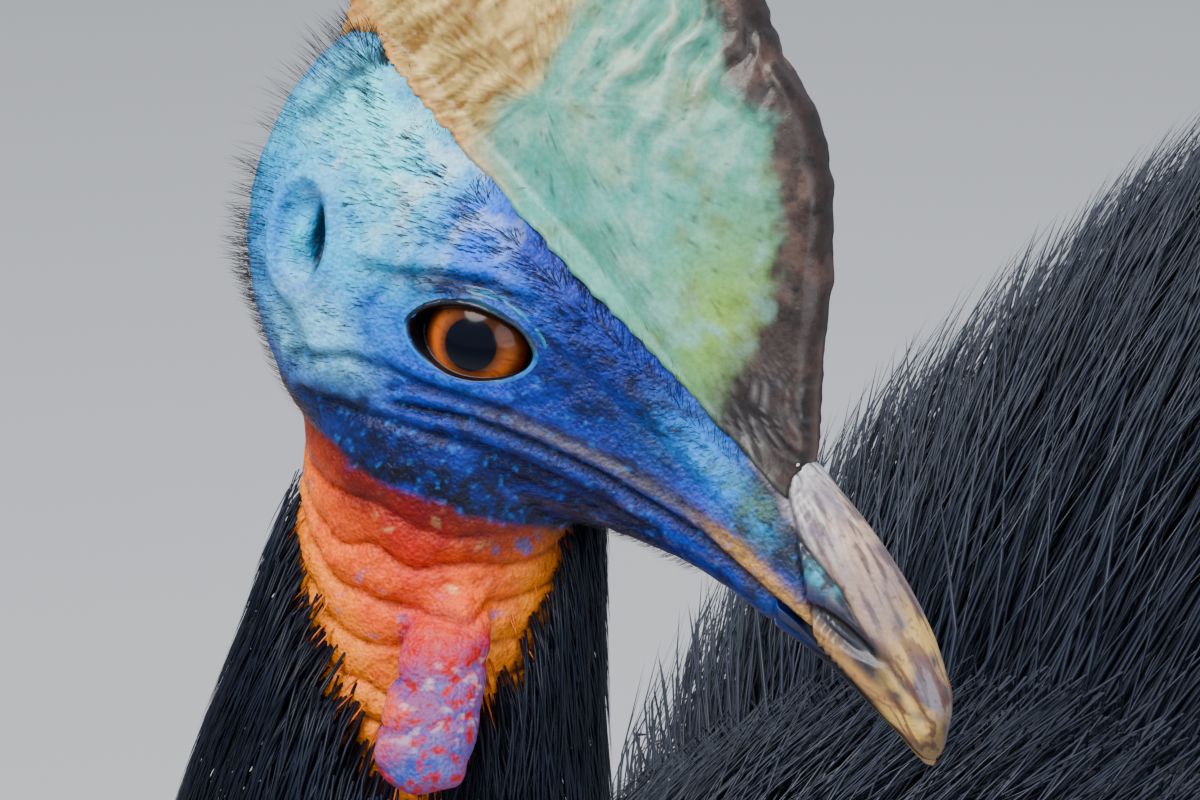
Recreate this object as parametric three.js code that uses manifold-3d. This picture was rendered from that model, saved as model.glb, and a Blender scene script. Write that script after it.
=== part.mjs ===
// A life-size northern cassowary, standing, with its head turned to its left.
// Millimetres, +Z up. The bird faces -Y and its left is +X.
import * as THREE from "three";
import { mergeVertices } from "three/addons/utils/BufferGeometryUtils.js";
import Module from "manifold-3d";

const wasm = await Module();
wasm.setup();

// Driving sizes
const GAP = 0.35; // clearance between pieces that touch
const HEAD_AT = [60, -580, 1210]; // middle of the head, level with the eyes
const HEAD_TURN = 0.7; // degrees past the bird's left side
const HEAD_DIP = 16.6; // degrees that the bill points down
const HEAD_TILT = 20.1; // degrees that the right side of the face is turned up
const EYE = { radius: 12.5, u: -3.2, v: 13, w: 0.3, back: 6.3, lid: 1.9 };
const LIDS = { u: -1.3, w: 0.5, length: 25.5, height: 14.5, tilt: 14.5 };
const EAR = { u: -40, v: 27, w: 1, length: 17, width: 8, depth: 7, rim: 1.7 };
const NOSTRIL = { u: 86, v: 8.6, w: -15.6, length: 21, height: 4.4, depth: 4.6, tilt: 9 };
const CASQUE = { foot: 40, footSlope: -0.324, footFrom: -55, front: 62 };
const CASQUE_HALF = { front: 5, top: 5.5, rear: 12, middle: 16.5, at: [-12, 46] };
const HORN = { at: [60, 5], slope: 0.85, lowerFrom: 70 }; // the seams of the bill's horn
const COLLAR = { tip: [60, -619, 1122], back: 0.42, sides: 1.05, facing: 35 }; // the V of bare skin on the throat
const FOLDS = { count: 6, height: 1.6 };
const NECK_SEAM = { at: [0, -400, 905], normal: [0, -0.75, 0.66] };
const BEND_SEAM = { at: [26, -580, 1003], normal: [0, -0.2, 1] };
const THIGH_BOX = { in: 40, out: 192, front: -72, rear: 172, top: 580, bottom: 300 };
const HOCK = 412;
const ANKLE = 48;
const STANCE = { halfWidth: 104, padY: 60, left: -34, right: 38, hip: 830 };
const SHANK_SCUTES = 11;
// Locks of neck plumage: depth is how far the core lies under their tips.
const NECK_COAT = { depth: 13, length: 140, width: 60, thick: 6, every: 100, from: 0.14, to: 0.84 };
const APART = 0.1; // how far vertices that meet at one place are drawn apart
const SLIVER = 0.05; // the most that a surface moves where slivers are cleared
const WELD = 0.01; // vertices closer than this are one
const WING = { root: [231, -50, 838], quills: 5, length: 290, thick: 5 };

// Each row is a point on the middle line, the half width there, and the reach above and below it.
const HEAD_ROWS = [
  [-64, 0, 13, 2, 4, 4],
  [-62.6, 0, 13, 12, 14, 13],
  [-59, 0, 12, 19.5, 24.5, 22],
  [-52.4, 0, 9.5, 24.8, 32.5, 29],
  [-44, 0, 6, 27.5, 37, 34],
  [-31, 0, 2, 28, 38, 39],
  [-18, 0, 0, 26.5, 36, 40],
  [-6, 0, -1, 25, 33, 37],
  [8, 0, -2, 22.5, 30, 30],
  [20, 0, -4, 18.5, 28, 23.5],
  [34, 0, -6, 14.5, 24, 17],
  [48, 0, -7, 11.8, 19, 14],
  [58, 0, -8, 10.4, 17.5, 12.6],
  [70, 0, -10, 9.2, 15.5, 11.8],
  [82, 0, -12.5, 8, 13.4, 10.2],
  [94, 0, -17, 6.4, 11.5, 8.2],
  [103, 0, -21, 4.6, 8.6, 6.6],
  [108.5, 0, -24.5, 2.6, 5.6, 4.6],
  [110.5, 0, -26.5, 0.6, 1.6, 1.6],
];
const MOUTH = [
  [-12.6, -19],
  [5, -13.4],
  [17, -12],
  [29, -11.4],
  [52, -12.2],
  [64, -15],
  [78, -17.8],
  [90, -22],
  [97, -24.6],
  [106, -27.6],
  [125, -32],
];
const CASQUE_OUTLINE = [
  [60, -4],
  [62, 7],
  [60.6, 13],
  [55.6, 23],
  [50.2, 37],
  [45.8, 47],
  [41.6, 55],
  [34, 64.4],
  [27, 70],
  [18, 74.6],
  [12, 80],
  [2, 88],
  [-11, 95],
  [-31, 99],
  [-51, 92],
  [-64, 74],
  [-68, 56],
  [-63, 42],
  [-56, 28],
  [-30, 14],
  [10, 2],
];
const THROAT = [
  [-90, -45],
  [-26, -38],
  [8, -33.5],
  [36, -29],
  [125, -60],
];
const BARE_NECK_ROWS = [
  [44, -582, 1212, 18, 16, 18],
  [45.5, -584, 1200, 26, 25, 26],
  [45.3, -587, 1186, 28.5, 27.5, 28],
  [45, -590, 1171, 28, 27, 27.5],
  [44.6, -596, 1143, 27, 26.5, 27],
  [44, -602, 1114, 26, 26, 26],
  [43, -603, 1096, 24, 24, 24],
];
const NECK_ROWS = [
  [46, -586, 1190, 30, 29, 29.5],
  [45, -590, 1171, 32, 31, 31],
  [44.5, -596, 1143, 36, 35, 35],
  [43.5, -603, 1114, 42, 41, 41],
  [37, -602, 1062, 50, 46, 49],
  [26, -580, 1003, 59, 54, 61],
  [14, -530, 948, 75, 63, 77],
  [5, -455, 903, 99, 79, 101],
  [0, -365, 872, 131, 105, 131],
  [0, -270, 850, 150, 124, 150],
];
const WATTLE_ROWS = [
  [61, -605, 1170, 5, 3, 3],
  [64, -612, 1165, 7, 4, 4],
  [67, -621, 1155, 8.8, 5, 5],
  [69.6, -631.5, 1143.5, 8.8, 5.2, 5.2],
  [70.6, -636, 1137.5, 6, 3.8, 3.8],
  [71.1, -637.3, 1135.4, 1, 1, 1],
];
const TORSO_ROWS = [
  [0, -388, 828, 12, 12, 12],
  [0, -372, 828, 70, 60, 66],
  [0, -330, 826, 125, 112, 125],
  [0, -250, 818, 180, 166, 190],
  [0, -130, 804, 222, 214, 242],
  [0, 0, 792, 240, 240, 264],
  [0, 140, 782, 240, 246, 264],
  [0, 270, 750, 214, 226, 240],
  [0, 365, 692, 166, 182, 186],
  [0, 422, 620, 108, 122, 122],
  [0, 440, 560, 56, 62, 62],
  [0, 443, 530, 8, 8, 8],
];
const THIGH_ROWS = [
  [100, 60, 770, 70, 80, 90],
  [106, 20, 670, 80, 92, 96],
  [108, 38, 580, 64, 76, 72],
  [107, 84, 496, 43, 49, 45],
  [105, 122, 436, 29, 31, 28],
  [104, 138, 404, 23, 23, 22],
];
const SHANK_ROWS = [
  [104, 139, 424, 20, 20, 20],
  [104, 147, 396, 25, 26, 23],
  [104, 142, 366, 21, 21, 20],
  [104, 120, 290, 16.5, 18.5, 18],
  [104, 90, 165, 17, 19, 18.5],
  [104, 70, 84, 20.5, 22, 20],
  [104, 62, 40, 24, 24, 22],
];
// Each row of a toe or claw is its distance from the pad, its height, its half width and its reach above.
const TOES = {
  inner: {
    turn: -27,
    scutes: 4,
    rows: [
      [-6, 24, 14, 14],
      [14, 23, 18, 18],
      [38, 19, 15.5, 15],
      [58, 17, 14.5, 13.5],
      [72, 16, 12.5, 12],
      [80, 16, 11.5, 11],
    ],
    claw: [
      [70, 16.4, 11.5, 11.5],
      [84, 16.6, 11, 11],
      [112, 14, 7.8, 8.5],
      [142, 9.4, 4.2, 4.6],
      [168, 4, 0.6, 0.7],
    ],
  },
  middle: {
    turn: 0,
    scutes: 8,
    rows: [
      [-16, 24, 12, 14],
      [10, 25, 21, 21],
      [50, 20, 17, 16],
      [95, 18, 16, 15],
      [132, 16, 14, 12.5],
      [156, 13.5, 10, 9],
      [166, 13, 9, 8.4],
    ],
    claw: [
      [154, 13, 9, 8.6],
      [168, 13, 8.4, 8.4],
      [186, 9.5, 4.8, 5],
      [204, 4, 0.6, 0.7],
    ],
  },
  outer: {
    turn: 30,
    scutes: 6,
    rows: [
      [-6, 24, 14, 14],
      [14, 23, 18, 18],
      [45, 19, 15, 15],
      [80, 16.5, 13.5, 12.5],
      [106, 13.6, 10, 9],
      [116, 13, 8.6, 8],
    ],
    claw: [
      [104, 13, 8.6, 8.4],
      [118, 12.6, 7.8, 7.8],
      [134, 9, 4.4, 4.6],
      [150, 4, 0.6, 0.7],
    ],
  },
};

const COLOURS = {
  skin: [0x2f7fd0, 0.55],
  casque: [0x6f9f8d, 0.5],
  bill: [0x8f8478, 0.45],
  eye: [0xb8641e, 0.1],
  neckSkin: [0xe2551c, 0.6],
  wattle: [0xb0405a, 0.6],
  plumage: [0x0d0e12, 0.5],
  scutes: [0x6a6459, 0.6],
  claw: [0x3a332b, 0.4],
};

const { clamp, degToRad, lerp, smoothstep } = THREE.MathUtils;
const vector = (xyz) => new THREE.Vector3(...xyz);
const even = (steps) => Array.from({ length: steps + 1 }, (_, i) => i / steps);
const materials = Object.fromEntries(
  Object.entries(COLOURS).map(([name, [color, roughness]]) => [
    name,
    new THREE.MeshStandardMaterial({ name, color, roughness, metalness: 0 }),
  ]),
);

// A smooth path through rows of numbers. t runs from 0 to 1 with the distance between their points.
function track(rows) {
  const at = [0];
  for (let i = 1; i < rows.length; i++)
    at.push(at[i - 1] + vector(rows[i].slice(0, 3)).distanceTo(vector(rows[i - 1].slice(0, 3))));
  const length = at[at.length - 1];
  const step = (i) => at[i + 1] - at[i];
  const slope = (i, k) => (rows[i + 1][k] - rows[i][k]) / step(i);
  const tangent = (i, k) => {
    if (i === 0) return slope(0, k);
    if (i === rows.length - 1) return slope(i - 1, k);
    return (slope(i, k) * step(i - 1) + slope(i - 1, k) * step(i)) / (step(i) + step(i - 1));
  };
  const read = (t) => {
    const d = clamp(t, 0, 1) * length;
    let i = 0;
    while (i < rows.length - 2 && d > at[i + 1]) i++;
    const h = step(i);
    const s = (d - at[i]) / h;
    return rows[i].map(
      (value, k) =>
        value * (1 + 2 * s) * (1 - s) ** 2 +
        rows[i + 1][k] * s * s * (3 - 2 * s) +
        tangent(i, k) * h * s * (1 - s) ** 2 +
        tangent(i + 1, k) * h * s * s * (s - 1),
    );
  };
  return { length, read };
}

// A round body along a track. Its sections stand square to the track, or to ahead where that is given,
// and a bend below 1 makes them squarer.
class Tube {
  constructor(rows, side, { ahead = null, bend = 1 } = {}) {
    this.track = track(rows);
    this.length = this.track.length;
    this.side = vector(side);
    this.ahead = ahead && vector(ahead);
    this.bend = bend;
  }
  frame(t) {
    const reach = 0.004;
    const [x, y, z, w, up, down] = this.track.read(t);
    const before = vector(this.track.read(Math.max(0, t - reach)).slice(0, 3));
    const after = vector(this.track.read(Math.min(1, t + reach)).slice(0, 3));
    const ahead = this.ahead || after.sub(before).normalize();
    const upward = this.side.clone().cross(ahead).normalize();
    const side = ahead.clone().cross(upward);
    return { centre: new THREE.Vector3(x, y, z), ahead, side, upward, w, up, down };
  }
  point(t, angle, lift = 0) {
    const f = this.frame(t);
    const soften = (value) => Math.sign(value) * Math.abs(value) ** this.bend;
    const c = soften(Math.cos(angle));
    const s = soften(Math.sin(angle));
    const beyond = Math.max(0, t - 1) * this.length;
    return f.centre
      .addScaledVector(f.side, c * Math.max(0, f.w + lift))
      .addScaledVector(f.upward, s * Math.max(0, (s > 0 ? f.up : f.down) + lift))
      .addScaledVector(f.ahead, beyond);
  }
}

// One closed surface through rings of points, with a fan over each end.
function closedRings(rings) {
  const sides = rings[0].length;
  const middle = (ring) =>
    ring.reduce((sum, p) => sum.add(p), new THREE.Vector3()).divideScalar(sides);
  const points = [...rings.flat(), middle(rings[0]), middle(rings[rings.length - 1])];
  const index = [];
  const first = rings.length * sides;
  const last = first - sides;
  for (let j = 0; j < sides; j++) {
    const k = (j + 1) % sides;
    for (let i = 0; i < rings.length - 1; i++) {
      const [a, b, c, d] = [i * sides + j, i * sides + k, (i + 1) * sides + k, (i + 1) * sides + j];
      index.push(a, d, b, b, d, c);
    }
    index.push(first, j, k, first + 1, last + k, last + j);
  }
  return new THREE.BufferGeometry().setFromPoints(points).setIndex(index);
}

function solid(geometry, tolerance = 1e-4) {
  const bare = geometry.clone();
  bare.deleteAttribute("normal");
  bare.deleteAttribute("uv");
  const merged = mergeVertices(bare, tolerance);
  return new wasm.Manifold(
    new wasm.Mesh({
      numProp: 3,
      vertProperties: merged.attributes.position.array,
      triVerts: new Uint32Array(merged.index.array),
    }),
  );
}

// lift adds to the radius, as a function of t and the angle.
function tubeSolid(tube, stations, sides, lift = () => 0) {
  const rings = stations.map((t) =>
    Array.from({ length: sides }, (_, j) => {
      const angle = ((j + 0.5) / sides) * 2 * Math.PI;
      return tube.point(t, angle, lift(t, angle));
    }),
  );
  return solid(closedRings(rings));
}

function geometryOf(made) {
  const mesh = made.getMesh();
  return new THREE.BufferGeometry()
    .setAttribute("position", new THREE.BufferAttribute(new Float32Array(mesh.vertProperties), 3))
    .setIndex(new THREE.BufferAttribute(new Uint32Array(mesh.triVerts), 1));
}

// Vertices that share one place, where two locks touch along an edge, are drawn apart into the body.
function drawnApart(made) {
  const mesh = made.getMesh();
  const geometry = new THREE.BufferGeometry()
    .setAttribute("position", new THREE.BufferAttribute(mesh.vertProperties.slice(), 3))
    .setIndex(new THREE.BufferAttribute(mesh.triVerts, 1));
  geometry.computeVertexNormals();
  const { position, normal } = geometry.attributes;
  const places = new Map();
  for (let i = 0; i < position.count; i++) {
    const place = [position.getX(i), position.getY(i), position.getZ(i)].map((v) => v.toFixed(2)).join();
    places.set(place, [...(places.get(place) ?? []), i]);
  }
  for (const shared of places.values())
    if (shared.length > 1)
      for (const i of shared) {
        const inward = vector([normal.getX(i), normal.getY(i), normal.getZ(i)]).multiplyScalar(-APART);
        position.setXYZ(i, ...vector([position.getX(i), position.getY(i), position.getZ(i)]).add(inward));
      }
  const vertProperties = position.array;
  return new wasm.Manifold(new wasm.Mesh({ numProp: 3, vertProperties, triVerts: mesh.triVerts }));
}

// The largest closed surface of what is made, without slivers.
function largest(made) {
  let body = made;
  for (let pass = 0; pass < 3; pass++)
    body = drawnApart(
      solid(geometryOf(body.simplify(SLIVER)), WELD)
        .decompose()
        .sort((a, b) => b.volume() - a.volume())[0],
    );
  return body;
}

// What lies on normal's side of a plane through at, moved that way by shift.
function beyond(made, at, normal, shift = 0) {
  const unit = vector(normal).normalize();
  return made.trimByPlane(unit.toArray(), unit.dot(vector(at)) + shift);
}

const opposite = (normal) => normal.map((value) => -value);

function box(from, to, grow = 0) {
  const size = from.map((value, k) => to[k] - value + 2 * grow);
  return wasm.Manifold.cube(size).translate(from.map((value) => value - grow));
}

const ball = (radius, segments, rings) => solid(new THREE.SphereGeometry(radius, segments, rings));

// Head, in its own frame: u ahead along the bill, v to the left, w up.
const headMatrix = new THREE.Matrix4().compose(
  vector(HEAD_AT),
  new THREE.Quaternion().setFromEuler(
    new THREE.Euler(degToRad(-HEAD_TILT), degToRad(HEAD_DIP), degToRad(HEAD_TURN), "ZYX"),
  ),
  new THREE.Vector3(1, 1, 1),
);
const headTube = new Tube(HEAD_ROWS, [0, -1, 0], { ahead: [1, 0, 0], bend: 0.86 });
const footHeight = (u) => CASQUE.foot + CASQUE.footSlope * (u - CASQUE.footFrom);
const flip = (made) => made.mirror([0, 1, 0]);

// A block right through the head, or to one side of v, with its outline in the plane of the profile.
function block(outline, from = -60, to = 60) {
  const shape = new THREE.Shape(outline.map(([u, w]) => new THREE.Vector2(u, w)));
  const made = new THREE.ExtrudeGeometry(shape, { depth: to - from, bevelEnabled: false });
  return solid(made.rotateX(Math.PI / 2).translate(0, to, 0));
}

const eyeBall = (radius) =>
  ball(radius, 16, 10)
    .translate([EYE.u, EYE.v, EYE.w])
    .trimByPlane([0, 1, 0], EYE.back + (radius > EYE.radius ? -GAP : 0));

// The pointed oval between the lids.
function lidOpening() {
  const tilt = degToRad(LIDS.tilt);
  const points = even(16).slice(1).map((i) => {
    const a = i * 2 * Math.PI;
    const u = (LIDS.length / 2) * Math.cos(a);
    const w = (LIDS.height / 2) * Math.sin(a) * (0.84 + 0.16 * Math.sin(a) ** 2);
    return [LIDS.u + u * Math.cos(tilt) - w * Math.sin(tilt), LIDS.w + u * Math.sin(tilt) + w * Math.cos(tilt)];
  });
  return block(points, EYE.v, 40);
}

function earPieces() {
  const cup = ball(1, 10, 6)
    .scale([EAR.width / 2, EAR.depth, EAR.length / 2])
    .translate([EAR.u, EAR.v, EAR.w]);
  const ring = solid(new THREE.TorusGeometry(1, (2 * EAR.rim) / EAR.length, 4, 12).rotateX(Math.PI / 2));
  const rim = ring
    .scale([EAR.width / 1.6, EAR.length / 2.6, EAR.length / 2])
    .rotate([0, 0, -10])
    .translate([EAR.u, EAR.v - 1.6, EAR.w]);
  return { cup, rim };
}

function nostril() {
  return ball(1, 10, 6)
    .scale([NOSTRIL.length / 2, NOSTRIL.depth, NOSTRIL.height / 2])
    .rotate([0, NOSTRIL.tilt, 0])
    .translate([NOSTRIL.u, NOSTRIL.v, NOSTRIL.w]);
}

const headLoft = (grow = 0) => tubeSolid(headTube, even(27), 20, () => grow);

// Head, jaw, bill and bare neck are one form, parted by thin cuts.
function makeHead(bareNeck) {
  const whole = headLoft();
  const { cup, rim } = earPieces();
  const lids = ball(EYE.radius + EYE.lid, 16, 12).translate([EYE.u, EYE.v, EYE.w]);
  const openings = [eyeBall(EYE.radius + GAP), lidOpening(), cup];
  let flesh = whole.add(bareNeck);
  for (const piece of [lids, rim]) flesh = flesh.add(piece).add(flip(piece));
  for (const piece of openings) flesh = flesh.subtract(piece).subtract(flip(piece));

  const underThroat = (drop) => block([...THROAT.map(([u, w]) => [u, w - drop]), [125, -150], [-90, -150]]);
  const neck = flesh.intersect(underThroat(GAP));
  flesh = flesh.subtract(underThroat(0));

  const mouth = (drop) => block([...MOUTH.map(([u, w]) => [u, w - drop]), [125, -70], [0, -70], [-9, -38]]);
  const hornAt = [HORN.at[0], 0, HORN.at[1]];
  const hornNormal = [1, 0, HORN.slope];
  const underCasque = block([
    [-100, footHeight(-100)],
    [CASQUE.front + 1.5, footHeight(CASQUE.front + 1.5)],
    [CASQUE.front + 1.5, 200],
    [-100, 200],
  ]);
  const upper = flesh.subtract(underCasque).subtract(mouth(0));
  const behindGape = block([
    [-30, 0],
    [-12, -19],
    [-8.4, -38],
    [-8.4, -80],
    [-30, -80],
  ]);
  const lower = flesh.intersect(mouth(GAP)).subtract(behindGape);
  const lowerAt = [HORN.lowerFrom, 0, 0];
  let bill = beyond(whole.subtract(underCasque).subtract(mouth(0)), hornAt, hornNormal, GAP);
  bill = bill.subtract(nostril()).subtract(flip(nostril()));
  return {
    neck,
    head: largest(beyond(upper, hornAt, opposite(hornNormal))),
    jaw: largest(beyond(lower, lowerAt, [-1, 0, 0])),
    bill_upper: largest(bill),
    bill_lower: largest(beyond(lower, lowerAt, [1, 0, 0], GAP)),
  };
}

// Casque: a lens over its outline, thick at the back of its foot and thin at the front keel.
function makeCasque() {
  const outline = CASQUE_OUTLINE.map(([u, w]) => new THREE.Vector3(u, 0, w));
  const around = 36;
  const edge = new THREE.CatmullRomCurve3(outline, true, "centripetal").getSpacedPoints(around).slice(1);
  const centre = new THREE.Vector3(CASQUE_HALF.at[0], 0, CASQUE_HALF.at[1]);
  const rim = 0.93;
  const halfThickness = (p, share) => {
    const low = lerp(CASQUE_HALF.front, CASQUE_HALF.rear, smoothstep(-p.x, 5, 58));
    const here = lerp(low, CASQUE_HALF.top, smoothstep(p.z, 30, 95));
    if (share > rim) return here * Math.sqrt(Math.max(0, 1 - ((share - rim) / (1 - rim)) ** 2));
    return here + (CASQUE_HALF.middle - here) * (1 - (share / rim) ** 2);
  };
  const ring = (share, sign) =>
    edge.map((p) => centre.clone().lerp(p, share).setY(sign * halfThickness(p, share)));
  const shares = [0.35, 0.7, rim, 0.98];
  const rings = [
    ...shares.map((share) => ring(share, -1)),
    ring(1, 0),
    ...shares.reverse().map((share) => ring(share, 1)),
  ];
  return largest(beyond(solid(closedRings(rings)), [0, 0, footHeight(0)], [-CASQUE.footSlope, 0, 1], GAP));
}

// Neck and torso
const neckTube = new Tube(NECK_ROWS, [1, 0, 0]);
const bareTube = new Tube(BARE_NECK_ROWS, [1, 0, 0]);
const torsoTube = new Tube(TORSO_ROWS, [1, 0, 0]);

// All that is above the collar's two slanting edges.
function collarWedge(shift = 0) {
  const facing = degToRad(COLLAR.facing);
  const [c, s] = [Math.cos(facing), Math.sin(facing)];
  const edge = (side) => [COLLAR.back * s + side * COLLAR.sides * c, side * COLLAR.sides * s - COLLAR.back * c, 1];
  const around = box([-200, -900, 1000], [300, -300, 1400]);
  return beyond(beyond(around, COLLAR.tip, edge(1), shift), COLLAR.tip, edge(-1), shift);
}

function makeBareNeck(lift = 0) {
  const fold = (t, angle) => {
    const wave = Math.sin(t * FOLDS.count * 2 * Math.PI + 0.9 * Math.sin(angle - 0.6));
    return lift + FOLDS.height * wave * smoothstep(t, 0.2, 0.35);
  };
  return tubeSolid(bareTube, even(28), 16, fold);
}

// The neck under its coat, which is thinner towards the head.
function makeNeckCore() {
  const lift = (t) => -NECK_COAT.depth * smoothstep(t, 0.1, 0.3);
  return tubeSolid(neckTube, even(16), 16, lift);
}

// Repeatable random numbers from 0 to 1.
function dice(seed) {
  let state = seed;
  return () => {
    state = (state * 1664525 + 1013904223) % 4294967296;
    return state / 4294967296;
  };
}

// How far along its length a lock reaches which share of its coat's depth below the tips.
const RISE = [
  [0, 1.5],
  [0.22, 0.62],
  [0.62, 0.25],
  [1, 0],
];

const radiusAt = (tube, t) => {
  const { w, up, down } = tube.frame(Math.min(t, 1));
  return (2 * w + up + down) / 4;
};

// One lock: a flat three-sided blade that leaves the core, bends along the lie and tapers to its tip.
function lock(tube, t, angle, lie, coat, size) {
  const long = coat.length * size;
  const rootRadius = radiusAt(tube, t);
  const rings = RISE.map(([s, below]) => {
    const along = t + (long * s * Math.cos(lie)) / tube.length;
    const radius = radiusAt(tube, along);
    const around = angle + (long * s * Math.sin(lie)) / Math.max(coat.width, rootRadius);
    const spine = tube.point(along, around, -below * coat.depth);
    const outward = tube.point(along, around, 4 - below * coat.depth).sub(spine).normalize();
    const ahead = tube.point(along + 0.01, around, 0).sub(tube.point(along - 0.01, around, 0)).normalize();
    const across = ahead.clone().cross(outward).normalize();
    const half = (coat.width / 2) * size * Math.min(1, radius / rootRadius) * Math.sqrt(1.0004 - s ** 2.4);
    const thick = coat.thick * (1 - 0.9 * s);
    const corner = (side, out) =>
      spine.clone().addScaledVector(across, side * half).addScaledVector(outward, out * thick);
    return [corner(-1, -0.45), corner(0, 0.4), corner(1, -0.45)];
  });
  return solid(closedRings(rings));
}

// Rows of locks over a tube, each row set between those of the last one.
function locks(tube, coat, seed) {
  const roll = dice(seed);
  const rows = Math.round(((coat.to - coat.from) * tube.length) / coat.every);
  const made = [];
  for (let i = 0; i <= rows; i++) {
    const t = lerp(coat.from, coat.to, i / Math.max(1, rows));
    const count = Math.max(5, Math.floor((2 * Math.PI * radiusAt(tube, t)) / (coat.width * 1.2)));
    for (let j = 0; j < count; j++) {
      const angle = ((j + (i % 2) / 2 + 0.1 * (roll() - 0.5)) / count) * 2 * Math.PI;
      const lie = 0.08 * (roll() - 0.5);
      made.push(lock(tube, t + 0.012 * (roll() - 0.5), angle, lie, coat, 0.9 + 0.16 * roll()));
    }
  }
  return made;
}

// Legs, in the place of the left one. forward moves the foot, and the leg less towards the hip.
function legRows(rows, forward) {
  return rows.map(([x, y, z, ...sizes]) => [x, y + forward * (1 - z / STANCE.hip), z, ...sizes]);
}

// Overlapping plates: each starts high and thins down to the next.
const plateLift = (t, count, height) => height * (0.5 - ((t * count) % 1));

function plateStations(count) {
  const edges = Array.from({ length: count }, (_, i) => [(i + 0.001) / count, (i + 0.9) / count]);
  return [0, ...edges.flat().slice(1), 1];
}

function makeShank(forward) {
  const tube = new Tube(legRows(SHANK_ROWS, forward), [1, 0, 0]);
  const lift = (t, angle) => (Math.sin(angle) < -0.2 ? plateLift(t, SHANK_SCUTES, 2.4) : 0);
  const made = tubeSolid(tube, plateStations(SHANK_SCUTES), 10, lift);
  return beyond(beyond(made, [0, 0, HOCK], [0, 0, -1]), [0, 0, ANKLE], [0, 0, 1], GAP);
}

function makeThigh(forward) {
  const tube = new Tube(legRows(THIGH_ROWS, forward), [1, 0, 0]);
  return beyond(tubeSolid(tube, even(10), 12, () => -1), [0, 0, HOCK], [0, 0, 1], GAP);
}

const wayOf = (toe) => [Math.sin(degToRad(toe.turn)), -Math.cos(degToRad(toe.turn)), 0];

function alongToe(toe, forward, q, z = 0) {
  const way = wayOf(toe);
  return [STANCE.halfWidth + q * way[0], STANCE.padY + forward + q * way[1], z];
}

function toeTube(toe, rows, forward, below) {
  const [x, y] = wayOf(toe);
  const full = rows.map(([q, z, w, up]) => [...alongToe(toe, forward, q, z), w, up, below(z, up)]);
  return new Tube(full, [y, -x, 0]);
}

// The seam of a toe and its claw lies in the middle of their overlap.
const clawSeam = (toe) => (toe.rows[toe.rows.length - 1][0] + toe.claw[0][0]) / 2;

function makeToe(toe, forward) {
  const lift = (t, angle) => (Math.sin(angle) > 0.1 ? plateLift(t, toe.scutes, 2) : 0);
  const tube = toeTube(toe, toe.rows, forward, (z) => z + 1.5);
  const made = tubeSolid(tube, plateStations(toe.scutes), 8, lift);
  return beyond(made, alongToe(toe, forward, clawSeam(toe)), opposite(wayOf(toe)));
}

function makeFoot(forward) {
  const ankle = tubeSolid(new Tube(legRows(SHANK_ROWS, forward), [1, 0, 0]), [0.8, 0.9, 1], 10);
  const toes = Object.values(TOES).map((toe) => makeToe(toe, forward));
  const foot = wasm.Manifold.union([ankle, ...toes]);
  return largest(beyond(beyond(foot, [0, 0, ANKLE], [0, 0, -1]), [0, 0, 0], [0, 0, 1]));
}

function makeClaw(toe, forward) {
  const tube = toeTube(toe, toe.claw, forward, (z, up) => Math.min(up, z - 0.5));
  return beyond(tubeSolid(tube, even(5), 7), alongToe(toe, forward, clawSeam(toe)), wayOf(toe), GAP);
}

// Wing: a small stub with bare quills that curve down over the flank.
function makeWing(grow = 0) {
  const [x, y, z] = WING.root;
  const stub = ball(1, 10, 6).scale([13, 42, 24].map((r) => r + grow)).rotate([-25, 0, 0]);
  const pieces = [stub.translate([x, y, z])];
  for (let i = 0; i < WING.quills; i++) {
    const spread = i / (WING.quills - 1);
    const long = WING.length * (1 - 0.22 * Math.abs(spread - 0.35));
    const fall = 0.45 + 0.5 * spread;
    const rows = even(4).map((s) => [
      x + 2 + 26 * Math.sin(s * 2.2) - 10 * s,
      y + 26 - 40 * spread + long * s * Math.cos(fall + 0.35 * s),
      z - 4 - 12 * spread - long * s * Math.sin(fall + 0.35 * s),
      ...Array(3).fill((WING.thick / 2) * (1 - 0.75 * s) + grow),
    ]);
    pieces.push(tubeSolid(new Tube(rows, [1, 0, 0]), even(4), 5));
  }
  return largest(wasm.Manifold.union(pieces));
}

const model = new THREE.Group();
model.name = "cassowary";

function addNode(name, made, material, parent = model) {
  const geometry = geometryOf(made);
  geometry.computeVertexNormals();
  const node = new THREE.Mesh(geometry, material);
  node.name = name;
  parent.add(node);
}

const headGroup = new THREE.Group();
headMatrix.decompose(headGroup.position, headGroup.quaternion, headGroup.scale);
model.add(headGroup);
const toHead = headMatrix.clone().invert().elements;
const bareNeck = makeBareNeck().intersect(collarWedge(GAP)).transform(toHead);
const { neck, head, jaw, bill_upper, bill_lower } = makeHead(bareNeck);
const leftEye = eyeBall(EYE.radius);
addNode("head", head, materials.skin, headGroup);
addNode("jaw", jaw, materials.skin, headGroup);
addNode("bill_upper", bill_upper, materials.bill, headGroup);
addNode("bill_lower", bill_lower, materials.bill, headGroup);
addNode("casque", makeCasque(), materials.casque, headGroup);
addNode("eye_left", leftEye, materials.eye, headGroup);
addNode("eye_right", flip(leftEye), materials.eye, headGroup);

addNode("neck_bare", largest(neck), materials.neckSkin, headGroup);

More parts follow.
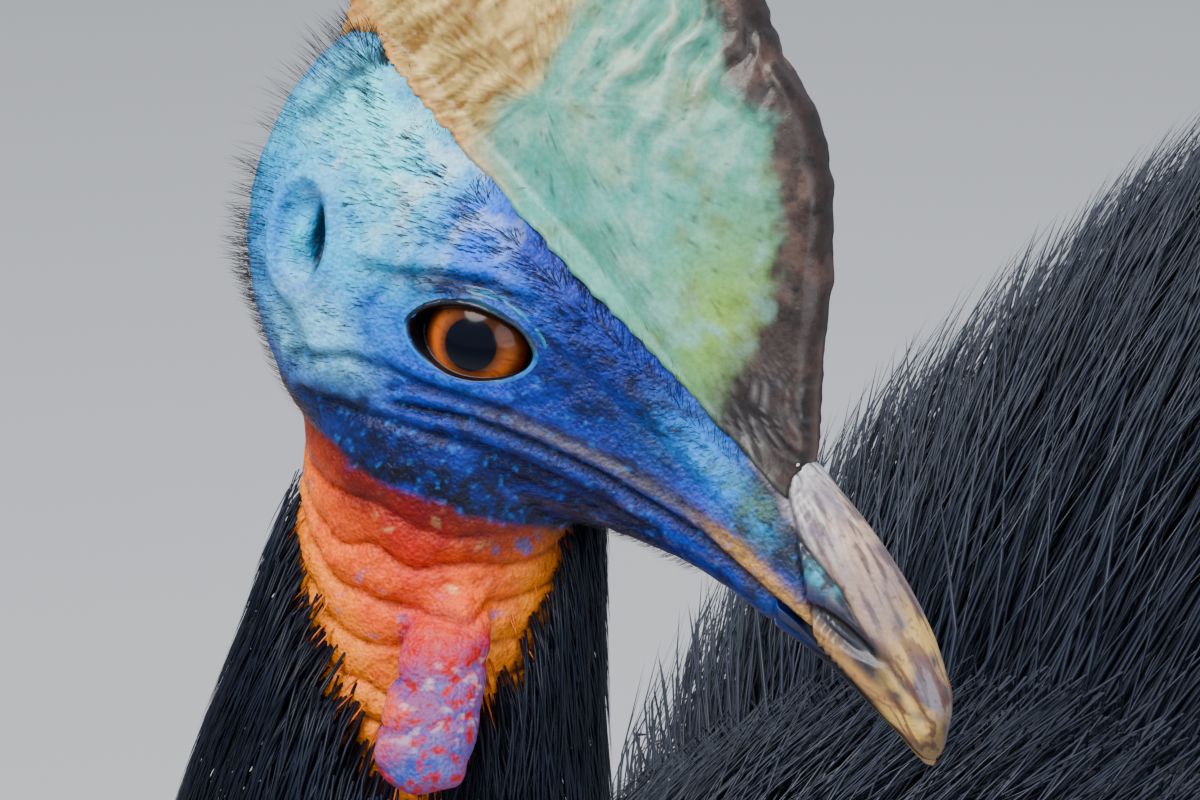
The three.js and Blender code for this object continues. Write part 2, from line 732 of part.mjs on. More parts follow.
const place = { left: (made) => made, right: (made) => made.mirror([1, 0, 0]) };
const sides = Object.keys(place);
const thighs = sides.map((side) => place[side](makeThigh(STANCE[side])));
const plumedNeck = wasm.Manifold.union([makeNeckCore(), ...locks(neckTube, NECK_COAT, 3)]);
const aroundHead = headLoft(GAP).transform(headMatrix.elements);
const plumage = wasm.Manifold.union([
  tubeSolid(torsoTube, even(16), 20),
  plumedNeck.subtract(collarWedge()),
  ...thighs,
]).simplify(16 * SLIVER).subtract(aroundHead);
const neckPlumage = beyond(plumage, NECK_SEAM.at, NECK_SEAM.normal);
const neckUpper = beyond(neckPlumage, BEND_SEAM.at, BEND_SEAM.normal, GAP);
const neckLower = beyond(neckPlumage, BEND_SEAM.at, opposite(BEND_SEAM.normal));
addNode("neck_upper", largest(neckUpper), materials.plumage);
addNode("neck_lower", largest(neckLower), materials.plumage);

const wattle = tubeSolid(new Tube(WATTLE_ROWS, [0.82, 0.57, 0]), even(8), 10);
const clearNeck = makeBareNeck(GAP);
const clearCollar = tubeSolid(neckTube, even(22), 20, () => GAP).subtract(collarWedge(GAP));
addNode("wattle", largest(wattle.subtract(clearNeck).subtract(clearCollar)), materials.wattle);

let trunk = beyond(plumage, NECK_SEAM.at, opposite(NECK_SEAM.normal), GAP);
for (const side of sides) {
  const forward = STANCE[side];
  const put = place[side];
  const from = [THIGH_BOX.in, THIGH_BOX.front, THIGH_BOX.bottom];
  const to = [THIGH_BOX.out, THIGH_BOX.rear, THIGH_BOX.top];
  const wing = put(makeWing());
  addNode("thigh_" + side, largest(plumage.intersect(put(box(from, to)))), materials.plumage);
  trunk = trunk.subtract(put(box(from, to, GAP))).subtract(put(makeWing(GAP)));
  addNode("shank_" + side, put(makeShank(forward)), materials.scutes);
  addNode("foot_" + side, put(makeFoot(forward)), materials.scutes);
  addNode("wing_" + side, wing, materials.plumage);
  for (const [name, toe] of Object.entries(TOES))
    addNode(`claw_${name}_${side}`, put(makeClaw(toe, forward)), materials.claw);
}
addNode("torso", largest(trunk), materials.plumage);

// The origin is the middle of the model's box, on the ground.
const bounds = new THREE.Box3().setFromObject(model);
const middle = bounds.getCenter(new THREE.Vector3());
model.position.set(-middle.x, -middle.y, -bounds.min.z);

export default model;
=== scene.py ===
"""A life-size northern cassowary, standing with its head turned to its left.

Each piece is a surface worked out with numpy in the bird's own frame: millimetres, +Z up, the bird faces
-Y and its left is +X. Head forms use u ahead along the bill, v to the left and w up.
"""

import math

import bpy
import numpy as np
from mathutils import Matrix, Vector


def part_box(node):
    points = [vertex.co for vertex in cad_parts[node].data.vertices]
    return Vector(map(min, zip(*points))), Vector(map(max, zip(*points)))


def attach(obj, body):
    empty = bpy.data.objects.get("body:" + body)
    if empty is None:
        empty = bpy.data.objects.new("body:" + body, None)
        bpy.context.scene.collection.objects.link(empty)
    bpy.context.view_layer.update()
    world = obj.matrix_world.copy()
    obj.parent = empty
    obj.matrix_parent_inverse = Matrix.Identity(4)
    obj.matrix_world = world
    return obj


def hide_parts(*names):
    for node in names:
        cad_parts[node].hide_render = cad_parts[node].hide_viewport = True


bl_info = {
    "name": "Standing Cassowary",
    "version": (1, 0),
    "blender": (4, 5, 0),
    "location": "3D View > Sidebar > Cassowary",
    "description": "Builds a life-size northern cassowary around its solid model",
    "category": "Add Mesh",
}

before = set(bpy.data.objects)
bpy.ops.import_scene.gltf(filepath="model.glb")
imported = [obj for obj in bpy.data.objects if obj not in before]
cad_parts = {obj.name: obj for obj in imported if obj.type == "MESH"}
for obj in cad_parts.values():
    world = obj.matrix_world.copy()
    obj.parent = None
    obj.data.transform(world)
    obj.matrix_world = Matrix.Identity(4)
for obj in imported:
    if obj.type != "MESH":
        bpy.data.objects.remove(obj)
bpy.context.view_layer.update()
MM = 0.001
# The middle claw's tip lies 178 mm ahead of the tables' own origin.
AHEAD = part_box("claw_middle_left")[0].y / MM + 178

HEAD_AT = np.array([60.0, -580.0, 1210.0])
HEAD_ANGLES = (-20.1, 16.6, 0.7)
EYE = {"radius": 12.5, "u": -3.2, "v": 13.0, "w": 0.3}
NOSTRIL = {"u": 85.2, "w": -14.7, "tilt": -9}
LIDS = {"u": -1.6, "w": 0.1, "length": 24.2, "height": 13.4, "tilt": 14.5}
EAR = {"u": -40.8, "w": 1.6, "length": 19.0, "width": 11.5, "turn": (0.94, 0.34)}
COLLAR = {"tip": (60, -619, 1128), "back": 0.42, "sides": 1.2, "facing": 35}
HEAD_ROWS = [
    (-64, 0, 13, 2, 4, 4), (-62.6, 0, 13, 12, 14, 13), (-59, 0, 12, 19.5, 24.5, 22),
    (-52.4, 0, 9.5, 24.8, 32.5, 29), (-44, 0, 6, 27.5, 37, 34), (-31, 0, 2, 28, 38, 39),
    (-18, 0, 0, 26.5, 36, 40), (-6, 0, -1, 25, 33, 37), (8, 0, -2, 22.5, 30, 30),
    (20, 0, -4, 18.5, 28, 23.5), (34, 0, -6, 14.5, 24, 17), (48, 0, -7, 11.8, 19, 14),
    (58, 0, -8, 10.4, 17.5, 12.6), (70, 0, -10, 9.2, 15.5, 11.8), (82, 0, -12.5, 8, 13.4, 10.2),
    (94, 0, -17, 6.4, 11.5, 8.2), (103, 0, -21, 4.6, 8.6, 6.6), (108.5, 0, -24.5, 2.6, 5.6, 4.6),
    (110.5, 0, -26.5, 0.6, 1.6, 1.6),
]
MOUTH = np.array([
    (-12.6, -19), (5, -13.4), (17, -12), (29, -11.4), (52, -12.2), (64, -15), (78, -17.8),
    (90, -22), (97, -24.6), (106, -27.6), (125, -32),
], float)
CASQUE_OUTLINE = [
    (60, -4), (62, 7), (60.6, 13), (55.6, 23), (50.2, 37), (45.8, 47), (41.6, 55), (34, 64.4),
    (27, 70), (18, 74.6), (12, 80), (2, 88), (-11, 95), (-31, 99), (-51, 92), (-64, 74),
    (-68, 56), (-63, 42), (-56, 28), (-30, 14), (10, 2),
]
BARE_NECK_ROWS = [
    (44, -582, 1212, 18, 16, 18), (45.5, -584, 1200, 26, 25, 26), (45.3, -587, 1186, 28.5, 27.5, 28),
    (45, -590, 1171, 28, 27, 27.5), (44.6, -596, 1143, 27, 26.5, 27), (44, -602, 1114, 26, 26, 26),
    (43, -603, 1096, 24, 24, 24),
]
NECK_ROWS = [
    (46, -586, 1190, 30, 29, 29.5), (45, -590, 1171, 32, 31, 31), (44.5, -596, 1143, 36, 35, 35),
    (43.5, -603, 1114, 42, 41, 41), (37, -602, 1062, 50, 46, 49), (26, -580, 1003, 59, 54, 61),
    (14, -530, 948, 75, 63, 77), (5, -455, 903, 99, 79, 101), (0, -365, 872, 131, 105, 131),
    (0, -270, 850, 150, 124, 150),
]
WATTLE_ROWS = [
    (61, -605, 1170, 5, 3, 3), (64, -612, 1165, 7, 4, 4), (67, -621, 1155, 8.8, 5, 5),
    (69.6, -630, 1145.8, 9, 5.2, 5.2), (70.6, -634.2, 1140.6, 6.4, 3.8, 3.8),
    (71.1, -635.4, 1138.6, 1, 1, 1),
]
TORSO_ROWS = [
    (0, -388, 828, 12, 12, 12), (0, -372, 828, 70, 60, 66), (0, -330, 826, 125, 112, 125),
    (0, -250, 818, 180, 166, 190), (0, -130, 804, 222, 214, 242), (0, 0, 792, 240, 240, 264),
    (0, 140, 782, 240, 246, 264), (0, 270, 750, 214, 226, 240), (0, 365, 692, 166, 182, 186),
    (0, 422, 620, 108, 122, 122), (0, 440, 560, 56, 62, 62), (0, 443, 530, 8, 8, 8),
]
THIGH_ROWS = [
    (100, 60, 770, 70, 80, 90), (106, 20, 670, 80, 92, 96), (108, 38, 580, 64, 76, 72),
    (107, 84, 496, 43, 49, 45), (105, 122, 436, 29, 31, 28), (104, 138, 404, 23, 23, 22),
]
SHANK_ROWS = [
    (104, 139, 424, 20, 20, 20), (104, 147, 396, 25, 26, 23), (104, 142, 366, 21, 21, 20),
    (104, 120, 290, 16.5, 18.5, 18), (104, 90, 165, 17, 19, 18.5), (104, 70, 84, 20.5, 22, 20),
    (104, 62, 40, 24, 24, 22),
]
STANCE = {"halfWidth": 104, "padY": 60, "left": -34, "right": 38, "hip": 830}
TOES = {
    "inner": {
        "turn": -27, "scutes": 9,
        "rows": [(-6, 24, 14, 14), (14, 23, 18, 18), (38, 19, 15.5, 15), (58, 17, 14.5, 13.5),
                 (72, 16, 12.5, 12), (80, 16, 11.5, 11)],
        "claw": [(70, 16.4, 11.5, 11.5), (84, 16.6, 11, 11), (112, 14, 7.8, 8.5),
                 (142, 9.4, 4.2, 4.6), (168, 4, 0.6, 0.7)],
    },
    "middle": {
        "turn": 0, "scutes": 20,
        "rows": [(-16, 24, 12, 14), (10, 25, 21, 21), (50, 20, 17, 16), (95, 18, 16, 15),
                 (132, 16, 14, 12.5), (156, 13.5, 10, 9), (166, 13, 9, 8.4)],
        "claw": [(154, 13, 9, 8.6), (168, 13, 8.4, 8.4), (186, 9.5, 4.8, 5), (204, 4, 0.6, 0.7)],
    },
    "outer": {
        "turn": 30, "scutes": 14,
        "rows": [(-6, 24, 14, 14), (14, 23, 18, 18), (45, 19, 15, 15), (80, 16.5, 13.5, 12.5),
                 (106, 13.6, 10, 9), (116, 13, 8.6, 8)],
        "claw": [(104, 13, 8.6, 8.4), (118, 12.6, 7.8, 7.8), (134, 9, 4.4, 4.6), (150, 4, 0.6, 0.7)],
    },
}
SIDES = {"left": 1, "right": -1}


def colour(name, default):
    return bpy.props.FloatVectorProperty(
        name=name, description=f"{name}, as linear light", subtype="COLOR", size=3,
        min=0, max=1, default=default,
    )


class CassowaryCoat(bpy.types.PropertyGroup):
    """Sizes and colour of the plumage."""

    strands: bpy.props.IntProperty(
        name="Strands", description="Strands of plumage on the body", default=38000, min=2000)
    body_width: bpy.props.FloatProperty(
        name="Body strand width", description="Width of a strand on the body, in millimetres",
        default=1.5, min=0.5)
    neck_width: bpy.props.FloatProperty(
        name="Neck strand width", description="Width of a strand on the neck, in millimetres",
        default=0.7, min=0.3)
    # near black plumage, drawn towards blue as painted sheen from the sky
    black: colour("Plumage", (0.0032, 0.0068, 0.0185))


class CassowaryHead(bpy.types.PropertyGroup):
    """Sizes and colours of the head."""

    voxel: bpy.props.FloatProperty(
        name="Skin detail", description="Size of the skin's faces, in millimetres", default=0.8, min=0.5)
    pupil: bpy.props.FloatProperty(
        name="Pupil", description="Radius of the pupil, in millimetres", default=5.2, min=1)
    iris: bpy.props.FloatProperty(
        name="Iris", description="Radius of the iris, in millimetres", default=9.9, min=2)
    iris_colour: colour("Iris", (0.21, 0.062, 0.014))
    bristles: bpy.props.IntProperty(
        name="Bristles", description="Short black hairs on the head", default=13000, min=0)


def smooth(x, a, b):
    """0 below a and 1 above b, with no corner between."""
    t = np.clip((x - a) / (b - a), 0, 1)
    return t * t * (3 - 2 * t)


def lump(x, width):
    """A bell that is 1 at 0 and falls to a third at width."""
    return np.exp(-((x / width) ** 2))


def noise(points, size, seed=0):
    """Random numbers from -1 to 1 on a cubic lattice of that size, blended smoothly between its corners."""
    q = np.asarray(points, float) / size
    base = np.floor(q).astype(np.int64)
    f = q - base
    f = f * f * (3 - 2 * f)
    total = np.zeros(len(q))
    for corner in np.ndindex(2, 2, 2):
        c = (base + corner) * (73856093, 19349663, 83492791)
        h = (c[:, 0] ^ c[:, 1] ^ c[:, 2] ^ (seed + 1) * 2654435761) & 0xFFFFFFFF
        h = ((h ^ (h >> 13)) * 1274126177) & 0xFFFFFFFF
        value = (h ^ (h >> 16)) / 2**31 - 1
        total += value * np.prod(np.where(corner, f, 1 - f), axis=1)
    return total


def fractal(points, size, seed=0, octaves=3):
    """Noise at that size, with half as much at each half size."""
    return sum(noise(points, size / 2**k, seed + 7 * k) / 2**k for k in range(octaves))


def linear(r, g, b, vivid=1.4):
    """Linear light of an 8-bit screen colour, drawn away from its grey by vivid."""
    c = np.array([r, g, b]) / 255
    light = np.where(c < 0.04045, c / 12.92, ((c + 0.055) / 1.055) ** 2.4)
    grey = light @ (0.21, 0.72, 0.07)
    return np.clip(grey + (light - grey) * vivid, 0.0005, 1)


def tint(base, shade, mask):
    """base mixed towards shade by mask."""
    return base + (np.asarray(shade) - base) * np.clip(mask, 0, 1)[:, None]


def layered(paint, layers):
    """paint mixed towards each shade in turn: layers of ((r, g, b) or (r, g, b, vivid), mask)."""
    for shade, mask in layers:
        paint = tint(paint, linear(*shade), mask)
    return paint


def coated(count, shade, layers):
    """Paint for count points: one shade, then layers."""
    return layered(np.tile(linear(*shade), (count, 1)), layers)


def patchy(points, size, seed, octaves, low, high):
    """Where fractal noise is over low, in full from high."""
    return smooth(fractal(points, size, seed, octaves), low, high)


def spot(x, y, along, across):
    """A bell round the origin that falls to a third at along and across."""
    return lump(np.hypot(x / along, y / across), 1)


def leaned(x, y, degrees):
    """A place as seen on axes turned anticlockwise by degrees."""
    c, s = math.cos(math.radians(degrees)), math.sin(math.radians(degrees))
    return x * c + y * s, y * c - x * s


def turned(x, y, z):
    """The matrix that turns about x, then y, then z, by degrees."""
    (cx, sx), (cy, sy), (cz, sz) = ((math.cos(a), math.sin(a)) for a in map(math.radians, (x, y, z)))
    about_x = np.array([[1, 0, 0], [0, cx, -sx], [0, sx, cx]])
    about_y = np.array([[cy, 0, sy], [0, 1, 0], [-sy, 0, cy]])
    about_z = np.array([[cz, -sz, 0], [sz, cz, 0], [0, 0, 1]])
    return about_z @ about_y @ about_x


HEAD_TURN = turned(*HEAD_ANGLES)


def from_head(points):
    """Head frame to bird frame: turned, then moved to the head's place."""
    return np.asarray(points) @ HEAD_TURN.T + HEAD_AT


def to_head(points):
    return (np.asarray(points) - HEAD_AT) @ HEAD_TURN


def unit(v):
    return v / np.maximum(np.linalg.norm(v, axis=-1, keepdims=True), 1e-9)


def off_line(u, w, line):
    """Distance in the profile from a line of points, with the sign of the side: positive above it."""
    best = np.full(np.shape(u), 1e9)
    above = np.zeros(np.shape(u))
    for (x0, y0), (x1, y1) in zip(line[:-1], line[1:]):
        dx, dy = x1 - x0, y1 - y0
        s = np.clip(((u - x0) * dx + (w - y0) * dy) / (dx * dx + dy * dy), 0, 1)
        d = np.hypot(u - x0 - s * dx, w - y0 - s * dy)
        nearer = d < best
        best = np.where(nearer, d, best)
        above = np.where(nearer, np.sign(dx * (w - y0) - dy * (u - x0)), above)
    return best * np.where(above == 0, 1, above)


class Track:
    """A smooth path through rows of numbers: cubic pieces whose slopes at a row are the mean of its two
    neighbours', weighted by distance. t runs from 0 to 1 with the distance between the points."""

    def __init__(self, rows):
        self.rows = np.array(rows, float)
        self.step = np.linalg.norm(np.diff(self.rows[:, :3], axis=0), axis=1)
        self.at = np.concatenate([[0], np.cumsum(self.step)])
        self.length = self.at[-1]
        slope = np.diff(self.rows, axis=0) / self.step[:, None]
        before, after = self.step[:-1, None], self.step[1:, None]
        inner = (slope[1:] * before + slope[:-1] * after) / (before + after)
        self.tangent = np.vstack([slope[:1], inner, slope[-1:]])

    def read(self, t):
        d = np.clip(t, 0, 1) * self.length
        i = np.clip(np.searchsorted(self.at, d) - 1, 0, len(self.rows) - 2)
        h = self.step[i][..., None]
        s = (d - self.at[i])[..., None] / h
        return (self.rows[i] * (1 + 2 * s) * (1 - s) ** 2 + self.rows[i + 1] * s * s * (3 - 2 * s)
                + self.tangent[i] * h * s * (1 - s) ** 2 + self.tangent[i + 1] * h * s * s * (s - 1))


class Tube:
    """A round body along a track: centre + side * c * width + upward * s * reach, where c and s are the
    cosine and sine of the angle, each raised to bend."""

    def __init__(self, rows, side=(1, 0, 0), ahead=None, bend=1.0):
        self.track = Track(rows)
        self.length = self.track.length
        self.side = np.array(side, float)
        self.ahead = None if ahead is None else np.array(ahead, float)
        self.bend = bend

    def frame(self, t):
        t = np.asarray(t, float)
        row = self.track.read(t)
        if self.ahead is None:
            ahead = unit(self.track.read(np.minimum(1, t + 0.004))[..., :3]
                         - self.track.read(np.maximum(0, t - 0.004))[..., :3])
        else:
            ahead = np.broadcast_to(self.ahead, t.shape + (3,))
        upward = unit(np.cross(np.broadcast_to(self.side, ahead.shape), ahead))
        return row[..., :3], ahead, np.cross(ahead, upward), upward, row[..., 3], row[..., 4], row[..., 5]

    def point(self, t, angle, lift=0.0):
        centre, ahead, side, upward, w, up, down = self.frame(t)
        c, s = np.cos(angle), np.sin(angle)
        c, s = np.sign(c) * np.abs(c) ** self.bend, np.sign(s) * np.abs(s) ** self.bend
        reach = np.where(s > 0, up, down)
        beyond = np.maximum(0, t - 1) * self.length
        return (centre + side * (c * np.maximum(0, w + lift))[..., None]
                + upward * (s * np.maximum(0, reach + lift))[..., None] + ahead * beyond[..., None])

    def radius(self, t):
        row = self.track.read(np.clip(t, 0, 1))
        return (2 * row[..., 3] + row[..., 4] + row[..., 5]) / 4

    def skin(self, steps, sides, lift=0.0, start=0.0, end=1.0):
        """A grid of rings, each sides points round, from start to end."""
        t, a = np.meshgrid(np.linspace(start, end, steps + 1),
                           (np.arange(sides) + 0.5) / sides * 2 * np.pi, indexing="ij")
        return self.point(t, a, lift)


def ring_faces(rings, sides):
    """Quads between neighbouring rings, pointing out, for the ring order of Tube."""
    i, j = np.meshgrid(np.arange(rings - 1), np.arange(sides), indexing="ij")
    k = (j + 1) % sides
    this, following = i * sides, (i + 1) * sides
    return np.stack([this + j, following + j, following + k, this + k], -1).reshape(-1, 4)


def closed_rings(points):
    """Vertices and faces of rings (rings, sides, 3), with a fan over each end."""
    rings, sides = points.shape[:2]
    ends = np.stack([points[0].mean(0), points[-1].mean(0)])
    verts = np.vstack([points.reshape(-1, 3), ends])
    j = np.arange(sides)
    k = (j + 1) % sides
    top, last = rings * sides, (rings - 1) * sides
    first_fan = np.stack([np.full(sides, top), j, k], -1)
    last_fan = np.stack([np.full(sides, top + 1), last + k, last + j], -1)
    return verts, [ring_faces(rings, sides), first_fan, last_fan]


def joined(parts):
    """Several (vertices, [faces]) as one."""
    verts, faces, offset = [], [], 0
    for points, lists in parts:
        verts.append(points)
        faces += [f + offset for f in lists]
        offset += len(points)
    return np.vstack(verts), faces


def flipped(faces):
    return [f[:, ::-1] for f in faces]


def outward(verts, faces):
    """The faces turned to point out: the sum of corner . (edge x edge) over them, six times the volume, is
    positive."""
    total = 0.0
    for f in faces:
        for k in range(1, f.shape[1] - 1):
            total += np.einsum("ij,ij->i", verts[f[:, 0]], np.cross(verts[f[:, k]], verts[f[:, k + 1]])).sum()
    return verts, flipped(faces) if total < 0 else faces


def ball_rings(rings, sides, sizes, gap=0.05):
    """Rings of an ellipsoid of those half sizes, from pole to pole but for a gap at each."""
    a, b = np.meshgrid(np.linspace(gap, math.pi - gap, rings),
                       np.linspace(0, 2 * math.pi, sides, endpoint=False), indexing="ij")
    return np.stack([np.sin(a) * np.cos(b), np.sin(a) * np.sin(b), np.cos(a)], -1) * sizes


def piece(name, verts, faces, material, replaces=(), paint=None, bake=None):
    """A mesh object in metres in the shared frame, from millimetres in the bird's frame."""
    mesh = bpy.data.meshes.new(name)
    mesh.vertices.add(len(verts))
    mesh.vertices.foreach_set("co", ((verts + (0, AHEAD, 0)) * MM).astype(np.float32).ravel())
    corners = np.concatenate([f.ravel() for f in faces]).astype(np.int32)
    counts = np.concatenate([np.full(len(f), f.shape[1]) for f in faces])
    mesh.loops.add(len(corners))
    mesh.polygons.add(len(counts))
    mesh.loops.foreach_set("vertex_index", corners)
    mesh.polygons.foreach_set("loop_start", np.concatenate([[0], np.cumsum(counts)[:-1]]).astype(np.int32))
    mesh.update(calc_edges=True)
    mesh.polygons.foreach_set("use_smooth", np.ones(len(counts), bool))
    if paint is not None:
        layer = mesh.color_attributes.new("paint", "FLOAT_COLOR", "POINT")
        rgba = np.concatenate([np.clip(paint, 0, 1), np.ones((len(verts), 1))], 1)
        layer.data.foreach_set("color", rgba.astype(np.float32).ravel())
    if bake is not None:
        layer = mesh.uv_layers.new(name="OFBake")
        layer.data.foreach_set("uv", bake[corners].astype(np.float32).ravel())
    mesh.validate()
    obj = bpy.data.objects.new(name, mesh)
    bpy.context.scene.collection.objects.link(obj)
    mesh.materials.append(material)
    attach(obj, "root")
    if replaces:
        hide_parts(*replaces)
    return obj


def remeshed(verts, faces, voxel):
    """One closed surface round joined shapes, as vertices and quads, in the units given."""
    mesh = bpy.data.meshes.new("rough")
    mesh.from_pydata(verts.tolist(), [], [f for group in faces for f in group.tolist()])
    obj = bpy.data.objects.new("rough", mesh)
    bpy.context.scene.collection.objects.link(obj)
    change = obj.modifiers.new("one surface", "REMESH")
    change.mode = "VOXEL"
    change.voxel_size = voxel
    bpy.context.view_layer.update()
    made = bpy.data.meshes.new_from_object(obj.evaluated_get(bpy.context.evaluated_depsgraph_get()))
    points = np.empty(len(made.vertices) * 3, np.float32)
    made.vertices.foreach_get("co", points)
    corners = np.empty(len(made.loops), np.int32)
    made.loops.foreach_get("vertex_index", corners)
    bpy.data.objects.remove(obj)
    bpy.data.meshes.remove(mesh)
    bpy.data.meshes.remove(made)
    return points.reshape(-1, 3).astype(float), corners.reshape(-1, 4)


def relaxed(points, quads, passes, weight=1.0):
    """Each point moved half way to the mean of its neighbours, times weight, passes times over."""
    edges = np.vstack([quads[:, [0, 1]], quads[:, [1, 2]], quads[:, [2, 3]], quads[:, [3, 0]]])
    count = np.bincount(edges[:, 0], minlength=len(points)).clip(1)[:, None]
    weight = np.broadcast_to(np.asarray(weight, float).reshape(-1, 1), (len(points), 1))
    for _ in range(passes):
        total = [np.bincount(edges[:, 0], points[edges[:, 1], k], len(points)) for k in range(3)]
        points = points + 0.5 * weight * (np.stack(total, 1) / count - points)
    return points


def normals_of(points, quads):
    """The mean of the normals of the faces round each point."""
    a, b, c, d = (points[quads[:, k]] for k in range(4))
    face = np.cross(c - a, d - b)
    total = np.stack([np.bincount(quads.ravel(), np.repeat(face[:, k], 4), len(points)) for k in range(3)], 1)
    return unit(total)


def group_of(name, inputs, outputs):
    group = bpy.data.node_groups.new(name, "ShaderNodeTree")
    for label, kind in inputs:
        group.interface.new_socket(label, in_out="INPUT", socket_type=kind)
    for label, kind in outputs:
        group.interface.new_socket(label, in_out="OUTPUT", socket_type=kind)
    return group, group.nodes.new("NodeGroupInput"), group.nodes.new("NodeGroupOutput")


def grain_group():
    """Noise on object coordinates, stretched along each axis: Size in patches a metre, to a mask."""
    inputs = [("Size", "NodeSocketFloat"), ("Stretch", "NodeSocketVector")]
    group, given, out = group_of("grain", inputs, [("Mask", "NodeSocketFloat")])
    add = group.nodes.new
    coords, scaled, cloud = add("ShaderNodeTexCoord"), add("ShaderNodeVectorMath"), add("ShaderNodeTexNoise")
    scaled.operation = "MULTIPLY"
    cloud.inputs["Detail"].default_value = 4
    link = group.links.new
    link(coords.outputs["Object"], scaled.inputs[0])
    link(given.outputs["Stretch"], scaled.inputs[1])
    link(scaled.outputs[0], cloud.inputs["Vector"])
    link(given.outputs["Size"], cloud.inputs["Scale"])
    link(cloud.outputs["Fac"], out.inputs["Mask"])
    return group


def pores_group():
    """Rounded cells on object coordinates, as on scaly skin: Size in cells a metre, to a height."""
    group, given, out = group_of("pores", [("Size", "NodeSocketFloat")], [("Height", "NodeSocketFloat")])
    add = group.nodes.new
    coords, cells = add("ShaderNodeTexCoord"), add("ShaderNodeTexVoronoi")
    cells.feature = "SMOOTH_F1"
    link = group.links.new
    link(coords.outputs["Object"], cells.inputs["Vector"])
    link(given.outputs["Size"], cells.inputs["Scale"])
    link(cells.outputs["Distance"], out.inputs["Height"])
    return group


def finish_of(name, base=None, rough=0.5, vary=0.15, size=900, stretch=(1, 1, 1), bump=0.3, depth=0.0004,
              cells=0, coat=0.0, sheen=0.0, spread=0.12, subsurface=0.0, specular=0.5):
    """A material: painted or plain colour, darkened and lightened by grain, with grain or cells as bump."""
    made = bpy.data.materials.new(name)
    made.use_nodes = True
    nodes, link = made.node_tree.nodes, made.node_tree.links.new
    shader = nodes["Principled BSDF"]
    grain = nodes.new("ShaderNodeGroup")
    grain.node_tree = bpy.data.node_groups.get("grain") or grain_group()
    grain.inputs["Size"].default_value = size
    grain.inputs["Stretch"].default_value = stretch
    mask = grain.outputs["Mask"]

    def ranged(low, high):
        node = nodes.new("ShaderNodeMapRange")
        for label, value in {"From Min": 0.3, "From Max": 0.7, "To Min": low, "To Max": high}.items():
            node.inputs[label].default_value = value
        link(mask, node.inputs["Value"])
        return node.outputs["Result"]

    if base is None:
        source = nodes.new("ShaderNodeVertexColor")
        source.layer_name = "paint"
    else:
        source = nodes.new("ShaderNodeRGB")
        source.outputs[0].default_value = (*base, 1)
    times = nodes.new("ShaderNodeVectorMath")
    times.operation = "SCALE"
    link(source.outputs[0], times.inputs[0])
    link(ranged(1 - vary, 1 + vary), times.inputs["Scale"])
    link(times.outputs[0], shader.inputs["Base Color"])
    link(ranged(max(0.02, rough - spread), min(1, rough + spread)), shader.inputs["Roughness"])
    if bump:
        relief = nodes.new("ShaderNodeBump")
        relief.inputs["Strength"].default_value = bump
        relief.inputs["Distance"].default_value = depth
        height = mask
        if cells:
            pores = nodes.new("ShaderNodeGroup")
            pores.node_tree = bpy.data.node_groups.get("pores") or pores_group()
            pores.inputs["Size"].default_value = cells
            both = nodes.new("ShaderNodeMath")
            both.operation = "ADD"
            link(pores.outputs["Height"], both.inputs[0])
            link(mask, both.inputs[1])
            height = both.outputs[0]
        link(height, relief.inputs["Height"])
        link(relief.outputs["Normal"], shader.inputs["Normal"])
    constants = {"Coat Weight": coat, "Coat Roughness": 0.08, "Sheen Weight": sheen, "Sheen Roughness": 0.4,
                 "Sheen Tint": (0.55, 0.65, 1, 1), "Specular IOR Level": specular,
                 "Subsurface Weight": subsurface}
    if subsurface:
        constants |= {"Subsurface Radius": (1, 0.5, 0.4), "Subsurface Scale": 0.0015}
    for label, value in constants.items():
        shader.inputs[label].default_value = value
    return made


HEAD_TUBE = Tube(HEAD_ROWS, side=(0, -1, 0), ahead=(1, 0, 0), bend=0.86)
NECK_TUBE = Tube(NECK_ROWS)
TORSO_TUBE = Tube(TORSO_ROWS)
WATTLE_TUBE = Tube(WATTLE_ROWS, side=(0.82, 0.57, 0))


def head_side(u, w):
    """Half the head's thickness at a place in its profile: width times 1 less the height's share to the power
    2 / bend, all to the power bend / 2."""
    rows = HEAD_TUBE.track.read(np.linspace(0, 1, 400))
    middle, width, up, down = (np.interp(u, rows[:, 0], rows[:, k]) for k in (2, 3, 4, 5))
    share = np.abs(w - middle) / np.where(w > middle, up, down)
    return width * np.maximum(0, 1 - share ** (2 / HEAD_TUBE.bend)) ** (HEAD_TUBE.bend / 2)


def over_foot(u, w):
    """Height of a place in the profile over the slanting line where the casque's foot meets the skin."""
    return w - (40 - 0.324 * (u + 55))


def past_root(u, w, upper):
    """How far a place in the profile is beyond the root of the upper or lower bill's horn."""
    return u + 0.85 * (w - 5) - 60 if upper else u - 69


def lid_shape(u, w):
    """How far a place in the profile is from the middle of the lids' opening, 1 on its edge: first for an
    oval, then by height alone for the pointed oval."""
    x, y = leaned(u - LIDS["u"], w - LIDS["w"], LIDS["tilt"])
    share, half = np.abs(x) / (LIDS["length"] / 2), LIDS["height"] / 2
    pointed = half * np.maximum(0.04, 1 - np.minimum(share, 1.6) ** 2.3) ** 0.62
    return np.hypot(share, y / half), np.abs(y) / pointed


def lid_outline(a):
    """The pointed oval of the opening, anticlockwise from its front corner."""
    x = LIDS["length"] / 2 * np.cos(a)
    y = LIDS["height"] / 2 * np.sin(a) * (0.84 + 0.16 * np.sin(a) ** 2)
    x, y = leaned(x, y, -LIDS["tilt"])
    return LIDS["u"] + x, LIDS["w"] + y


def crows_feet(q):
    """Rings round the lids, from -1 to 1, and how far out each place is."""
    near, _ = lid_shape(q[:, 0], q[:, 2])
    return np.sin(9.5 * near + 1.2 * fractal(q, 6, 5, 2)), near


